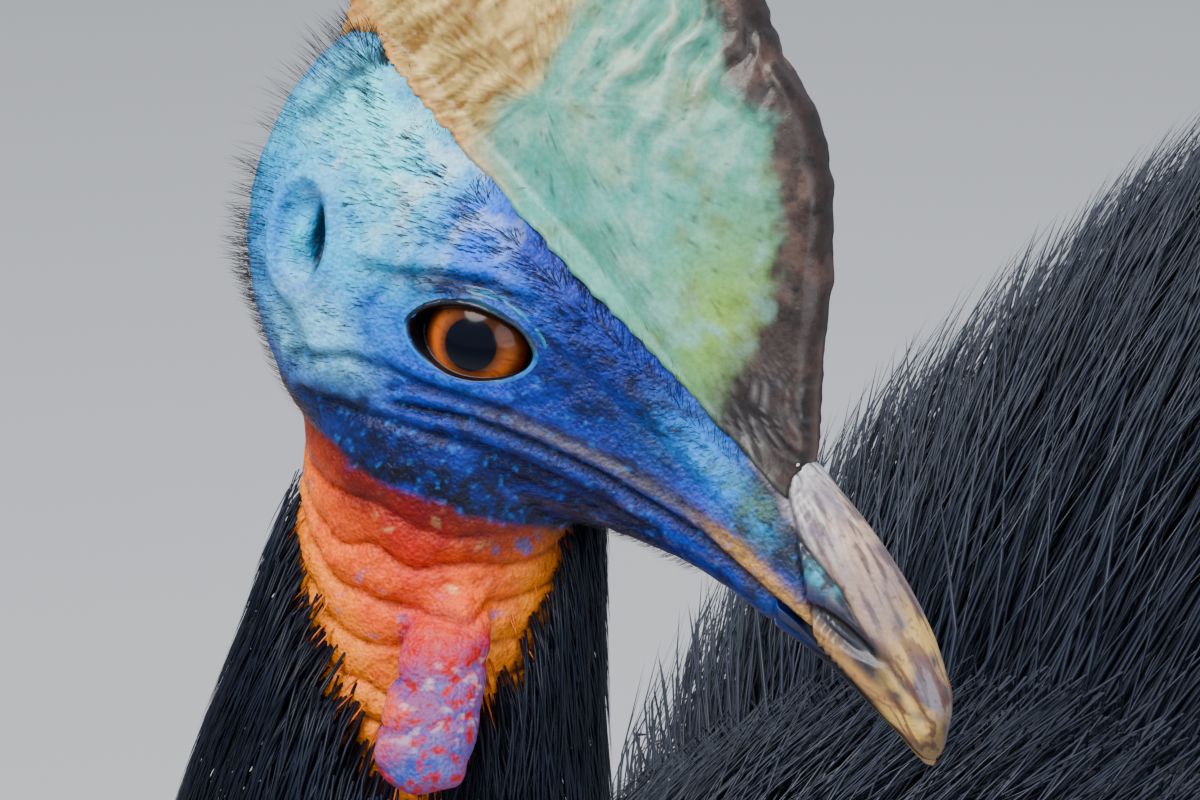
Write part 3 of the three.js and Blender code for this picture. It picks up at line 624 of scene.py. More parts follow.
def skin_relief(q, bird):
    """Height of folds, ear, mouth and grain over the smooth skin, in millimetres."""
    u, v, w = q.T
    side = smooth(np.abs(v), 6, 11)
    throat = smooth(-w, 30, 40) * smooth(u, 40, 10)
    lift = 0.28 * fractal(q, 5, 1) * (1 - throat)
    # mouth: a groove with a soft lip each side
    away = off_line(u, w, MOUTH)
    gape = smooth(u, -13.5, -9) * smooth(np.abs(v), 3, 6)
    lift += gape * (-1.7 * lump(away, 0.9) + 0.5 * lump(away - 2.6, 1.4) + 0.35 * lump(away + 2.8, 1.5))
    # long folds that run back from the gape and under the eye
    for line, depth, width in FOLD_LINES:
        d = off_line(u, w, line)
        lift += side * depth * (0.45 * lump(d - 2.4 * width, 1.4 * width) - lump(d, width))
    # under the horn of the bill the skin sinks
    under = smooth(np.where(away > 0, past_root(u, w, True), past_root(u, w, False)), 0.2, 2.5)
    lift = lift * (1 - under) - under * (1 + 3 * smooth(u, 68, 76))
    # ear: a cup with a raised rim, a bulge inside and a deep slit
    x, y = ear_place(u, w)
    ring = np.hypot(x / (EAR["width"] / 2), y / (EAR["length"] / 2))
    lift += smooth(np.abs(v), 14, 20) * (
        1.5 * lump(ring - 1.2, 0.25) - 2.6 * smooth(ring, 1.0, 0.55)
        + 2.2 * spot(x + 1.6, y + 1, 2.2, 4.6) - 3.4 * spot(x - 2.4, y, 1.7, 6.2))
    feet, near = crows_feet(q)
    lift += side * 0.3 * feet * smooth(near, 1.2, 1.5) * smooth(near, 2.4, 1.7)
    fold, deep = neck_folds(bird)
    return lift + throat * (3.4 * (fold - 0.75) * deep + 0.42 * fractal(bird, 2.4, 11, 2))


def neck_folds(bird):
    """Folds that wrap the bare neck, 0 in a crease and 1 on a ridge: the root of |sin(pi phase)|, with phase
    the height over 7.6 mm, bent round the neck; and how deep each is."""
    x, y, z = bird.T
    round_neck = np.arctan2(y + 597, x - 45)
    phase = (z + 4.2 * np.sin(round_neck + 2.1) + 3.6 * fractal(bird, 16, 3, 2)) / 7.6
    deep = 0.6 + 0.4 * noise(np.stack([x * 0, y * 0, np.floor(phase) * 9.7 + 0.5], 1), 3.1, 9)
    return np.abs(np.sin(np.pi * phase)) ** 0.5, deep * (0.3 + 0.7 * smooth(z, 1122, 1152))


# Lines in the head's profile: the tan strip along the bill, the groove over it and the throat's edge.
STRIP = [(-6, -13.6), (10, -9.6), (30, -8.4), (46.5, -8.6), (59.4, -11), (72.1, -14.4), (80.6, -17.4),
         (90, -20.3), (98.4, -22.8), (108, -27)]
GROOVE = [(56, 3.8), (61.4, 1.6), (65, -1.2), (69.8, -2.9), (75, -5.2), (81, -7.4), (86, -10.6),
          (91, -13.4), (96, -15.4), (101, -18.4), (107, -23)]
THROAT_EDGE = [(-90, -25), (-44, -26), (-26, -31.5), (-8, -32.6), (8, -30.4), (24, -28.6), (40, -26.5)]
# Part of the unwrap that the strands of each tube take: its corner, width and height.
UNWRAP = {"head": (0.02, 0.02, 0.3, 0.4), "neck": (0.35, 0.02, 0.3, 0.4), "torso": (0.02, 0.45, 0.6, 0.5),
          "thigh": (0.68, 0.02, 0.3, 0.4)}
# Folds of the face: the line, its depth and its width.
FOLD_LINES = [
    ([(-34, -21), (-22, -14.5), (-12, -12.6), (0, -11), (10, -9.6)], 0.9, 1.0),
    ([(-30, -27), (-18, -24), (-6, -20.5), (10, -17.5), (26, -16.4), (44, -17)], 1.1, 1.2),
    ([(-12, -15.5), (2, -9.2), (18, -8), (34, -7.6), (50, -9), (62, -11.5)], 0.7, 0.9),
    ([(12, -20.6), (28, -19), (44, -19.2), (62, -19.5)], 0.6, 0.9),
    ([(-26, 3), (-18, 5.5), (-13, 8.2), (-4, 10.4), (5, 11.5)], 0.8, 1.2),
    ([(14, 6.5), (24, 3.8), (36, 0.6), (48, -3.4)], 0.5, 1.2),
    ([(-48, -10), (-38, -13), (-30, -20)], 0.7, 1.6),
    ([(-52, 22), (-50, 30), (-46, 38)], 1.0, 1.6),
]

# Markings of the bare head: middle in the profile, reach along and across, slope in degrees, colour and
# strength.
MARKINGS = {
    "back of the head": (-52, 14, 9, 20, 0, (84, 196, 240), 0.95),
    "violet nape": (-55, 33, 4, 8, 0, (84, 96, 180), 0.6),
    "ear": (-46, -4, 10, 16, 0, (18, 152, 236), 0.95),
    "temple": (-27, 3, 15, 11, 10, (40, 190, 252), 1.0),
    "crown": (-34, 25, 20, 12, -14, (150, 236, 255), 1.0),
    "brow": (-5, 16, 17, 8, -27, (24, 112, 232), 0.95),
    "upper fold": (-8, 8.8, 13, 2.5, 12, (8, 18, 58), 0.9),
    "casque edge": (4, 22, 34, 5, -27, (16, 46, 140), 1.0),
    "corner": (-18, -3, 9, 5.5, 10, (16, 104, 196), 0.85),
    "lilac cheek": (-32, -15, 13, 8.5, -24, (150, 210, 255), 1.0),
    "back cheek": (-17, -27, 16, 6.5, 8, (24, 46, 130), 0.95),
    "under the eye": (3, -10.5, 15, 3.6, -4, (22, 78, 176), 0.9),
    "lore": (22, 2, 17, 9, -22, (10, 30, 96), 0.95),
    "front lore": (37, 0, 8, 6, -22, (16, 48, 104), 0.85),
    "mandible": (26, -17, 30, 4, -4, (14, 36, 104), 0.8),
    "gape": (-9, -24, 15, 4.5, 4, (10, 18, 60), 0.9),
    "chin": (8, -29, 46, 4.5, 6, (6, 8, 22), 0.9),
    "bill root": (49, 1.5, 11, 4.2, -26, (34, 140, 214), 0.9),
}


def ear_place(u, w):
    """Place from the middle of the ear, on axes turned by the cosine and sine that its table gives."""
    x, y = u - EAR["u"], w - EAR["w"]
    c, s = EAR["turn"]
    return x * c + y * s, y * c - x * s


def blend(base, other, share):
    """base mixed towards other, each with a row for each point, by share."""
    return base + (other - base) * share[:, None]


def bare_paint(q):
    """Soft markings over ultramarine, the mouth's horny edge, painted shade in the folds, the mouth's groove
    and the ear's slit, bill, ear, and dots.
    """
    u, v, w = q.T
    uu, ww = u + 2.6 * fractal(q, 9, 21), w + 2.6 * fractal(q, 9, 22)
    fine = 1 + 0.35 * fractal(q, 1.8, 31)
    paint = np.tile(linear(16, 58, 160), (len(q), 1))
    for at_u, at_w, along, across, slope, shade, strength in MARKINGS.values():
        x, y = leaned(uu - at_u, ww - at_w, slope)
        paint = tint(paint, linear(*shade), strength * np.minimum(1, 1.25 * spot(x, y, along, across)) * fine)
    away = off_line(u, w, MOUTH)
    horny = lump(off_line(u, w, STRIP), 1.9) * smooth(u, 0, 10)
    jaw_edge = w - np.interp(u, [0, 32, 52, 85], [-26.5, -21.5, -20.5, -23])
    lore, throat = smooth(u, 2, 14) * smooth(u, 48, 38), smooth(-w, 10, 15) * smooth(u, -30, -14)
    paint = layered(paint, [
        ((224, 244, 250),
         0.6 * patchy(q * (1, 1, 0.5), 3.4, 41, 2, -0.05, 0.6) * spot(u + 27, w - 21, 20, 12)),
        ((120, 96, 84), 0.6 * patchy(q, 2.6, 43, 2, 0.5, 0.85) * spot(u + 22, w - 24, 9, 7)),
        ((10, 16, 44), 0.75 * patchy(q * (0.28, 1, 1), 1.6, 51, 2, 0.05, 0.6) * lore),
        ((88, 128, 120), 0.8 * patchy(q, 3.6, 53, 3, 0.0, 0.45) * spot(u - 53, w + 1.5, 8, 4)),
        ((8, 12, 34), 0.75 * patchy(q * (0.6, 1, 1), 3.2, 55, 3, 0.1, 0.6) * throat),
        ((92, 84, 88, 1),
         0.6 * patchy(q * (0.12, 1, 1), 1.3, 71, 2, 0.1, 0.6) * smooth(-w, 11, 16) * smooth(u, 16, 40)),
        ((96, 90, 94, 1), 0.9 * horny),
        ((44, 40, 46, 1), 0.7 * horny * patchy(q * (0.2, 1, 1), 0.9, 57, 2, 0.1, 0.7)),
        ((92, 86, 92, 1), 0.75 * lump(jaw_edge, 1.5) * smooth(u, 10, 26)),
        # painted shade: near black along the groove of the mouth
        ((5, 6, 14), 0.95 * lump(away, 1.0) * smooth(u, -14, -8)),
    ])
    # painted shade in the creases of the face's folds, darker where a fold is deeper
    for line, depth, width in FOLD_LINES:
        crease = lump(off_line(u, w, line), 1.1 * width) * smooth(np.abs(v), 6, 11)
        paint = tint(paint, linear(8, 16, 50), 0.62 * depth * crease)
    paint = blend(paint, bill_paint(q, True), smooth(uu + 0.2 * w, 50, 60) * smooth(away, -0.4, 0.4))
    paint = blend(paint, tomium_paint(q, paint), smooth(u, 46, 62))
    paint = blend(paint, bill_paint(q, False), smooth(uu, 58, 69) * smooth(away, 0.4, -0.4))
    feet, near = crows_feet(q)
    x, y = ear_place(u, w)
    dots = smooth(noise(q, 0.8, 61), 0.2, 0.65)
    return layered(paint, [
        # painted shade in the troughs of the wrinkle rings round the lids
        ((10, 30, 96), 0.5 * smooth(feet, -0.2, -0.9) * smooth(near, 1.15, 1.3) * smooth(near, 2.2, 1.6)),
        ((110, 214, 230), 0.7 * spot(x + 1.6, y + 1, 2.6, 5.4)),
        # painted shade: near black in the ear's deep slit
        ((5, 14, 36), 0.95 * smooth(np.hypot((x - 2.6) / 2.0, y / 7.4), 1.15, 0.75)),
        ((10, 50, 140), 0.5 * lump(np.hypot(x / 5.9, y / 10.2) - 1, 0.14)),
        ((6, 18, 62), (0.3 + 0.2 * smooth(-w, -14, 10) * smooth(u, -24, -10)) * dots),
        ((76, 140, 230), 0.4 * smooth(noise(q, 1.1, 63), 0.45, 0.85) * smooth(-w, -6, 4)),
    ])


def head_paint(q, bird):
    """The bare head's paint, and below the throat's edge the neck's."""
    u, v, w = q.T
    below = 1.2 * fractal(bird, 5, 71, 2) - off_line(u, w, THROAT_EDGE)
    return blend(bare_paint(q), neck_paint(bird), smooth(below, 0.2, 1.8) * smooth(u, 50, 34))


def neck_paint(bird):
    """Deep red at the top, through orange, to yellow at the feathers' edge, with painted shade in the
    creases, grey-blue flecks on the folds, a painted shadow under the jaw, and the wattle's mottled skin."""
    x, y, z = bird.T
    count = len(bird)
    cloud = fractal(bird, 11, 81)
    rim = collar_height(bird)
    flame = rim + 4 * fractal(bird, 3.2, 83)
    fold, deep = neck_folds(bird)
    ridge = smooth(fold, 0.7, 0.95) * smooth(rim, 5, 12)
    u, v, w = to_head(bird).T
    paint = coated(count, (158, 22, 12), [
        ((200, 44, 10), smooth(z + 9 * cloud, 1180, 1156)),
        ((246, 116, 8), smooth(flame, 34, 12)),
        ((252, 148, 12), smooth(flame, 15, 4)),
        # painted shade in the creases of the neck's folds, darker where a fold is deeper
        ((92, 14, 12), 0.8 * smooth(fold, 0.62, 0.3) * deep),
        ((112, 132, 190),
         0.9 * patchy(bird, 2.3, 85, 2, 0.18, 0.5) * patchy(bird, 12, 87, 2, -0.2, 0.25) * ridge),
        ((236, 190, 150),
         0.7 * patchy(bird, 2.2, 89, 2, 0.45, 0.8) * patchy(bird, 13, 91, 2, 0.0, 0.4) * ridge),
        ((130, 16, 12), 0.38 * smooth(noise(bird, 1.1, 93), 0.1, 0.7)),
        # painted shadow under the jaw, fading down from the throat's edge
        ((58, 8, 16), 0.8 * smooth(off_line(u, w, THROAT_EDGE) + 2 * cloud, -13, -3)),
    ])
    centre = WATTLE_TUBE.track.read(np.clip((1170 - z) / 31.4, 0, 1))
    away, half = np.hypot(x - centre[:, 0], y - centre[:, 1]), centre[:, 3]
    on = smooth(away, 11.5, 9.5) * smooth(z, 1168, 1162) * smooth(-y, 605, 612)
    edge = np.clip(smooth(away, half * 0.75, half * 1.05) + smooth(z, 1144, 1139), 0, 1)
    blue = patchy(bird, 1.4, 95, 2, -0.5, -0.05) * (1 - 0.5 * edge)
    wattle = coated(count, (158, 32, 28), [
        ((78, 96, 172, 1), 0.95 * blue),
        ((40, 60, 140), 0.7 * blue * patchy(bird, 3.4, 99, 2, 0.05, 0.4)),
        ((206, 176, 190, 1), 0.75 * patchy(bird, 1.7, 97, 2, 0.35, 0.7) * smooth(z, 1146, 1152)),
        ((186, 44, 24), 0.85 * smooth(z + 3 * cloud, 1156, 1164)),
    ])
    return blend(paint, wattle, on)


def collar_height(bird):
    """Height over the collar's two slanting edges, in millimetres: below 0 is plumage."""
    facing = math.radians(COLLAR["facing"])
    c, s = math.cos(facing), math.sin(facing)
    off = bird - np.array(COLLAR["tip"], float)
    best = np.full(len(bird), 1e9)
    for side in (1, -1):
        normal = np.array([COLLAR["back"] * s + side * COLLAR["sides"] * c,
                           side * COLLAR["sides"] * s - COLLAR["back"] * c, 1.0])
        best = np.minimum(best, off @ (normal / np.linalg.norm(normal)))
    return best


def make_skin(head):
    """Head loft, lids, bare neck and wattle as one surface, relaxed, then raised by its folds."""
    neck = Tube(BARE_NECK_ROWS).skin(60, 72, lift=-0.4)
    loft = from_head(HEAD_TUBE.skin(110, 96, end=0.86))
    parts = [closed_rings(loft), closed_rings(neck), closed_rings(WATTLE_TUBE.skin(40, 36))]
    socket = ball_rings(24, 48, EYE["radius"] + 1.9)
    for side in (-1, 1):
        parts.append(closed_rings(from_head(socket + (EYE["u"], side * EYE["v"], EYE["w"]))))
    points, quads = remeshed(*joined(parts), head.voxel)
    u, v, w = to_head(points).T
    seam = lump(off_line(u, w, THROAT_EDGE), 7)
    points = relaxed(relaxed(points, quads, 7), quads, 30, seam)
    normal = normals_of(points, quads)
    points = points + normal * skin_relief(to_head(points), points)[:, None]
    # the opening between the lids: the skin goes in behind the eye, and is painted near black there as
    # painted shade
    q = to_head(points)
    near, over = lid_shape(q[:, 0], q[:, 2])
    inside = smooth(near, 1.06, 0.94) * smooth(over, 1.25, 1.0) * (np.abs(q[:, 1]) > 9)
    q[:, 1] += (np.sign(q[:, 1]) * 11.0 - q[:, 1]) * inside
    return from_head(q), quads, tint(head_paint(q, points), linear(6, 8, 14), inside)


def make_lids(side):
    """A rounded lid: offset d from the opening's edge, from the eyeball out over a bead to the skin."""
    a, s = np.meshgrid(np.linspace(0, 2 * np.pi, 160, endpoint=False), np.linspace(0, 1, 24), indexing="ij")
    d = -0.5 + 4.4 * s
    u0, w0 = lid_outline(a)
    (u1, w1), (u2, w2) = lid_outline(a + 0.01), lid_outline(a - 0.01)
    tangent = unit(np.stack([u1 - u2, w1 - w2], -1))
    u, w = u0 + tangent[..., 1] * d, w0 - tangent[..., 0] * d
    r = np.hypot(u - EYE["u"], w - EYE["w"])
    ball, lid = EYE["radius"], EYE["radius"] + 1.9
    eyeball = EYE["v"] + np.sqrt(np.maximum(ball**2 - np.minimum(r, ball - 0.4) ** 2, 0)) + 0.05
    cover = EYE["v"] + np.sqrt(np.maximum(lid**2 - np.minimum(r, lid - 0.1) ** 2, 0))
    skin = np.maximum(head_side(u, w), cover) - 0.35
    q = np.stack([u, skin, w], -1).reshape(-1, 3)
    upper = smooth(np.sin(a), -0.1, 0.3)
    bead = (0.55 + 0.3 * upper) * lump(d - 0.8, 0.75) + 0.5 * upper * lump(d - 3.0, 0.7)
    rough = 0.16 * fractal(q, 1.3, 3, 2).reshape(d.shape)
    over = smooth(d, -0.3, 0.45)
    v = eyeball * (1 - over) + (skin + bead + rough) * over - 0.9 * smooth(d, 2.6, 3.9) * (1 - 0.5 * upper)
    points = from_head(np.stack([u, side * v, w], -1))
    n, m = d.shape
    d, a, upper = d.ravel(), a.ravel(), upper.ravel()
    fine = 1 + 0.45 * fractal(q, 1.1, 5, 2)
    front = smooth(np.cos(a), -0.35, 0.25) * upper
    paint = layered(bare_paint(q * (1, side, 1)), [
        ((30, 140, 212), 0.65 * (1 - upper) * lump(d - 1.0, 0.95) * fine),
        ((8, 14, 36), 0.85 * upper * smooth(d, 3.6, 2.8) * (1 - 0.9 * front * lump(d - 1.1, 0.9))),
        ((56, 176, 206), 0.5 * front * lump(d - 1.1, 0.75) * fine),
        ((8, 24, 70), 0.55 * (1 - upper) * lump(d - 2.6, 0.55)),
        ((6, 9, 20), 0.92 * upper * smooth(d, 2.3, 1.3)),
        ((50, 170, 214), 0.4 * front * lump(d - 3.0, 0.8) * fine),
        ((5, 6, 10), smooth(d, 0.75, 0.35)),
    ])
    i, j = np.meshgrid(np.arange(n), np.arange(m - 1), indexing="ij")
    k = (i + 1) % n
    quads = np.stack([i * m + j, i * m + j + 1, k * m + j + 1, k * m + j], -1).reshape(-1, 4)
    return points.reshape(-1, 3), quads[:, ::-1] if side < 0 else quads, paint


def make_eye(side, head):
    """A ball whose front is coloured by the angle from its axis: pupil with a painted blue reflection,
    fibrous iris with painted shade under the upper lid, dark rim.
    """
    sides = 120
    a, b = np.meshgrid(np.linspace(0.012, math.pi * 0.75, 90),
                       np.linspace(0, 2 * math.pi, sides, endpoint=False), indexing="ij")
    a, b = a[..., None], b[..., None]
    gaze = unit(np.array([0.2, 1.0, -0.03]))
    left = unit(np.cross(gaze, (0, 0, 1)))
    up = np.cross(left, gaze)
    direction = np.cos(a) * gaze + np.sin(a) * (np.cos(b) * left + np.sin(b) * up)
    q = direction * EYE["radius"] * (1 + 0.012 * lump(a, 0.7)) + (EYE["u"], EYE["v"], EYE["w"])
    off, b = (EYE["radius"] * np.sin(a)).ravel(), b.ravel()
    fibres = fractal(np.stack([np.cos(b) * 9, np.sin(b) * 9, off * 0.22], 1), 0.55, 5)
    paint = layered(np.tile(np.array(head.iris_colour), (len(off), 1)), [
        ((214, 118, 44), 0.8 * lump(off - 7.4, 1.2) * smooth(-np.sin(b), -0.6, 0.7)),
        ((84, 34, 18), 0.85 * smooth(off, head.iris - 1.9, head.iris - 0.4)),
        ((70, 28, 14), 0.6 * lump(off - head.pupil, 1.0)),
        ((66, 28, 14), 0.6 * smooth(fibres, 0, 0.9)),
        # painted shade on the top of the iris, under the upper lid
        ((44, 20, 12), 0.92 * smooth(np.sin(b) * off, 0.5, 7)),
        # pupil: near black, tinted blue as a painted reflection of the sky
        ((3, 5, 16), smooth(off, head.pupil + 0.15, head.pupil - 0.15)),
        ((10, 8, 10), smooth(off, head.iris - 0.3, head.iris + 0.5)),
    ])
    verts, faces = closed_rings(from_head(q * (1, side, 1)))
    paint = np.vstack([paint, paint[:sides].mean(0), paint[-sides:].mean(0)])
    # rings run from the pole outwards, so their order is turned round for the left eye
    return verts, flipped(faces) if side > 0 else faces, paint


def make_bill(upper):
    """Horn over the bill: along it by s, round the open arc above or below the mouth line."""
    steps, arc = 170, 150
    share = np.linspace(0, 1, arc)

    def round_arc(low):
        return low + share * (math.pi - 2 * low) if upper else -math.pi - low + share * (math.pi + 2 * low)

    # the angle round the head's tube at which it crosses the mouth line
    mouth_t = np.linspace(0.5, 1, 600)
    angle = np.linspace(-1.2, 1.2, 400)
    p = HEAD_TUBE.point(*np.meshgrid(mouth_t, angle, indexing="ij"))
    line = np.interp(p[..., 0], MOUTH[:, 0], MOUTH[:, 1])
    crossing = np.argmax(p[..., 2] > line + (0.15 if upper else -0.15), axis=1)
    mouth_angle = np.convolve(np.pad(angle[crossing], 12, mode="edge"), np.ones(25) / 25, "valid")
    # where the horn starts, for each place round the arc
    t = np.linspace(0.55, 1, 900)
    p = HEAD_TUBE.point(*np.meshgrid(t, round_arc(np.interp(0.8, mouth_t, mouth_angle)), indexing="ij"))
    start = t[np.argmax(past_root(p[..., 0], p[..., 2], upper) > 0, axis=0)]
    s = np.linspace(0, 1, steps)[:, None]
    along = start + (0.9995 - start) * (1 - (1 - s) ** 1.15)
    angles = round_arc(np.interp(along, mouth_t, mouth_angle))
    return HEAD_TUBE.point(along, angles, 0.35 - 2.0 * smooth(s, 0.06, 0.0))


def closed_bill(q, upper):
    """Rings round the arc and back across its flat floor, with fans over both ends."""
    s = np.linspace(0, 1, 28)[None, 1:-1, None]
    inward = np.array([0, 0, 1.2 if upper else -1.2]) * np.sin(np.pi * s)
    across = q[:, -1:] * (1 - s) + q[:, :1] * s + inward
    return closed_rings(np.concatenate([q, across], 1))


def nostril_place(u, w):
    """Place from the middle of the nostril's slot, on its own axes."""
    return leaned(u - NOSTRIL["u"], w - NOSTRIL["w"], NOSTRIL["tilt"])


def bill_relief(q, upper):
    """Nostril slot with its lid, the groove behind it, root wrinkles, growth lines, and the tomium's edge."""
    u, v, w = q.T
    lift = 0.08 * fractal(q * (0.35, 1, 1), 2.0, 3, 2)
    if upper:
        x, y = nostril_place(u, w)
        slot = np.hypot(x / 9.2, y / (1.9 + 0.4 * np.cos(x / 4)))
        groove = off_line(u, w, GROOVE)
        lift += smooth(np.abs(v), 2, 4.5) * (
            1.3 * spot(x, y + 0.4, 7, 1.0) - 2.2 * smooth(slot, 1.25, 0.5) + 0.7 * spot(x, y - 3.3, 10, 1.5)
            - 0.85 * lump(groove, 0.9) + 0.55 * lump(groove - 2.2, 1.5)
            + 0.2 * lump(off_line(u, w, STRIP), 1.4))
        lift += 0.25 * np.sin(u * 3.4 + 2.5 * fractal(q, 4, 5)) * smooth(u + 0.85 * w, 74, 64)
    return lift


def bill_paint(q, upper):
    """Streaked grey, peach, brown and cream over the groove, leathery skin under it, and a tan edge."""
    u, v, w = q.T
    wide = fractal(q * (0.4, 1, 1), 5, 15)
    if not upper:
        low = w - np.interp(u, [60, 85, 104], [-19.5, -22.6, -28])
        return coated(len(q), (30, 32, 44, 1), [
            ((24, 62, 140), 0.7 * smooth(wide, -0.3, 0.3) * smooth(u, 84, 72)),
            ((96, 86, 84, 1), 0.7 * smooth(low, 1.5, -0.5)),
            ((150, 122, 84), 0.7 * smooth(u, 92, 106)),
        ])
    streak = fractal(q @ turned(0, -35, 0).T * (0.1, 1, 1), 1.1, 13)
    groove, along = off_line(u, w, GROOVE), u + 0.5 * w
    above, tip = smooth(groove, -0.5, 0.5), smooth(u + 0.3 * w, 87, 95)
    culmen = coated(len(q), (120, 108, 116, 1), [
        ((212, 212, 220, 1), 0.9 * lump(along - 63, 9)),
        ((206, 178, 158), 0.75 * smooth(wide + 0.2, -0.3, 0.3) * lump(along - 79, 8)),
        ((104, 84, 92, 1), 0.75 * lump(groove - 3.4, 2.2) * lump(u - 74, 12)),
        ((126, 88, 84), 0.8 * smooth(-wide, -0.2, 0.35) * lump(u - 90, 9)),
        ((64, 54, 62, 1), 0.75 * smooth(streak, -0.05, 0.55)),
        ((236, 230, 228, 1), 0.6 * smooth(-streak, 0.2, 0.7) * smooth(u, 88, 66)),
    ])
    paint = blend(cere_paint(q), culmen, above)
    # painted shade: a thin near black line along the groove
    paint = tint(paint, linear(18, 16, 20, 1), 0.85 * lump(groove, 0.55) * smooth(u, 104, 94))
    return layered(tomium_paint(q, paint), [
        ((206, 176, 124), 0.85 * tip * patchy(q * (0.4, 1, 1), 4, 21, 2, -0.5, 0.2)),
        ((128, 112, 130, 1), 0.6 * lump(along - 72, 14) * above * smooth(-wide, -0.3, 0.4)),
        ((84, 54, 48), 0.8 * smooth(np.sin(1.5 * groove + 1.8 * streak), 0.0, 0.8) * tip),
        ((48, 32, 28), 0.75 * smooth(u - 0.35 * w, 113.5, 118)),
        ((40, 34, 36, 1), 0.45 * patchy(q, 1.1, 19, 2, 0.5, 0.9)),
    ])


def tomium_paint(q, paint):
    """The bill's cutting edge: a tan strip with darker streaks, then painted shade along the line where the
    mouth closes.
    """
    u, v, w = q.T
    tan = lump(off_line(u, w, STRIP), 1.5)
    return layered(paint, [
        ((186, 142, 92, 1.15), 0.92 * np.minimum(1, 1.3 * tan)),
        ((84, 60, 46, 1), 0.6 * tan * patchy(q * (0.12, 1, 1), 0.9, 23, 2, 0.05, 0.6)),
        # painted shade along the line where the mouth closes
        ((26, 22, 24, 1), 0.7 * lump(off_line(u, w, MOUTH) - 0.2, 0.5)),
    ])


def cere_paint(q):
    """Leathery skin between lore and nostril: dark grey with turquoise and olive blotches, blue below, and
    painted shade in the nostril's slot.
    """
    u, v, w = q.T
    fleck = fractal(q, 2.6, 17)
    x, y = nostril_place(u, w)
    band = lump(off_line(u, w, GROOVE) + 4, 3.2) * smooth(u, 70, 60)
    return coated(len(q), (40, 44, 58, 1), [
        ((62, 150, 196), 0.85 * smooth(fleck, -0.15, 0.3) * band),
        ((84, 120, 112), 0.7 * smooth(-fleck, 0.0, 0.4) * spot(u - 58, w + 2, 7, 4)),
        ((110, 184, 206), 0.9 * smooth(fleck, -0.5, 0.1) * spot(u - 77.5, w + 7.2, 3.8, 1.8)),
        ((22, 62, 150), 0.85 * spot(u - 69, w + 12.2, 8.5, 2.2)),
        ((86, 80, 88, 1), 0.5 * smooth(fleck, 0.25, 0.7)),
        ((52, 30, 28), 0.9 * spot(x, y - 1.4, 9, 1.1)),
        # painted shade: near black in the nostril's slot round its lid
        ((12, 13, 18, 1), 0.9 * smooth(np.hypot(x / 9.4, y / 2.1), 1.15, 0.8)),
        ((62, 66, 80, 1), 0.8 * spot(x, y + 0.5, 6.5, 0.9)),
    ])


def casque_edge(count):
    """The outline as an even, smooth closed curve through its points."""
    points, n = np.array(CASQUE_OUTLINE, float), len(CASQUE_OUTLINE)
    s = np.linspace(0, n, 4000, endpoint=False)
    i = s.astype(int)
    f = (s - i)[:, None]
    p0, p1, p2, p3 = (points[(i + k - 1) % n] for k in range(4))
    curve = 0.5 * (2 * p1 + (p2 - p0) * f + (2 * p0 - 5 * p1 + 4 * p2 - p3) * f**2
                   + (3 * p1 - p0 - 3 * p2 + p3) * f**3)
    closed = np.vstack([curve, curve[:1]])
    at = np.concatenate([[0], np.cumsum(np.linalg.norm(np.diff(closed, axis=0), axis=1))])
    want = np.linspace(0, at[-1], count, endpoint=False)
    return np.stack([np.interp(want, at, closed[:, k]) for k in (0, 1)], 1)


KEEL_LINE = [(-40, 92), (-8, 84), (7.5, 77.8), (17.3, 66.1), (29, 63.9), (36.5, 50.9), (40.9, 42.7),
             (45, 27.9), (45.8, 13.2), (44, -4)]
GOLD_LINE = [(-17.1, 104), (-17.1, 64.8), (-14.4, 47), (-19.9, 33.3), (-30, 10)]
FIBRE_TURN = turned(0, 61, 0)


def casque_waves(q):
    """Where the casque's upper front is folded, and the folds: sines of a slanting distance, bent."""
    u, v, w = q.T
    bent = u + 0.25 * w + 3.2 * np.sin(w / 6.5) + 4.5 * fractal(q, 11, 3, 2)
    return spot(u - 7, w - 64, 13, 18), np.sin(0.95 * bent)


def casque_wrinkles(q):
    """Curved wrinkles round the front of the casque's foot."""
    u, v, w = q.T
    return np.sin(3.3 * np.hypot(u - 60, (w - 20) * 0.9) + 1.6 * fractal(q, 4, 9, 2))


def casque_relief(q):
    """Wavy ridges down the upper front, a lumpy keel, a wrinkled bump at its foot, and fine fibres."""
    u, v, w = q.T
    band = off_line(u, w, KEEL_LINE)
    front, wave = casque_waves(q)
    fibre = fractal(q @ FIBRE_TURN.T * (0.22, 1, 1), 1.1, 11, 2)
    flank = (1.15 * front * wave + 0.5 * lump(band + 1.2, 3.2)
             - 0.7 * lump(band + 4.4, 1.6) * smooth(w, 20, 36)
             + spot(u - 52, w - 12, 8.5, 11) * (1.2 + 0.3 * casque_wrinkles(q))
             + 0.5 * smooth(-off_line(u, w, GOLD_LINE), -2, 3) * fibre)
    return (smooth(np.abs(v), 1.5, 4) * flank + 0.22 * fractal(q, 4, 5)
            + 0.12 * fractal(q * (1, 1, 0.3), 1.2, 7, 2)
            + 0.8 * smooth(band, 0, 5) * fractal(q, 8, 13, 2))


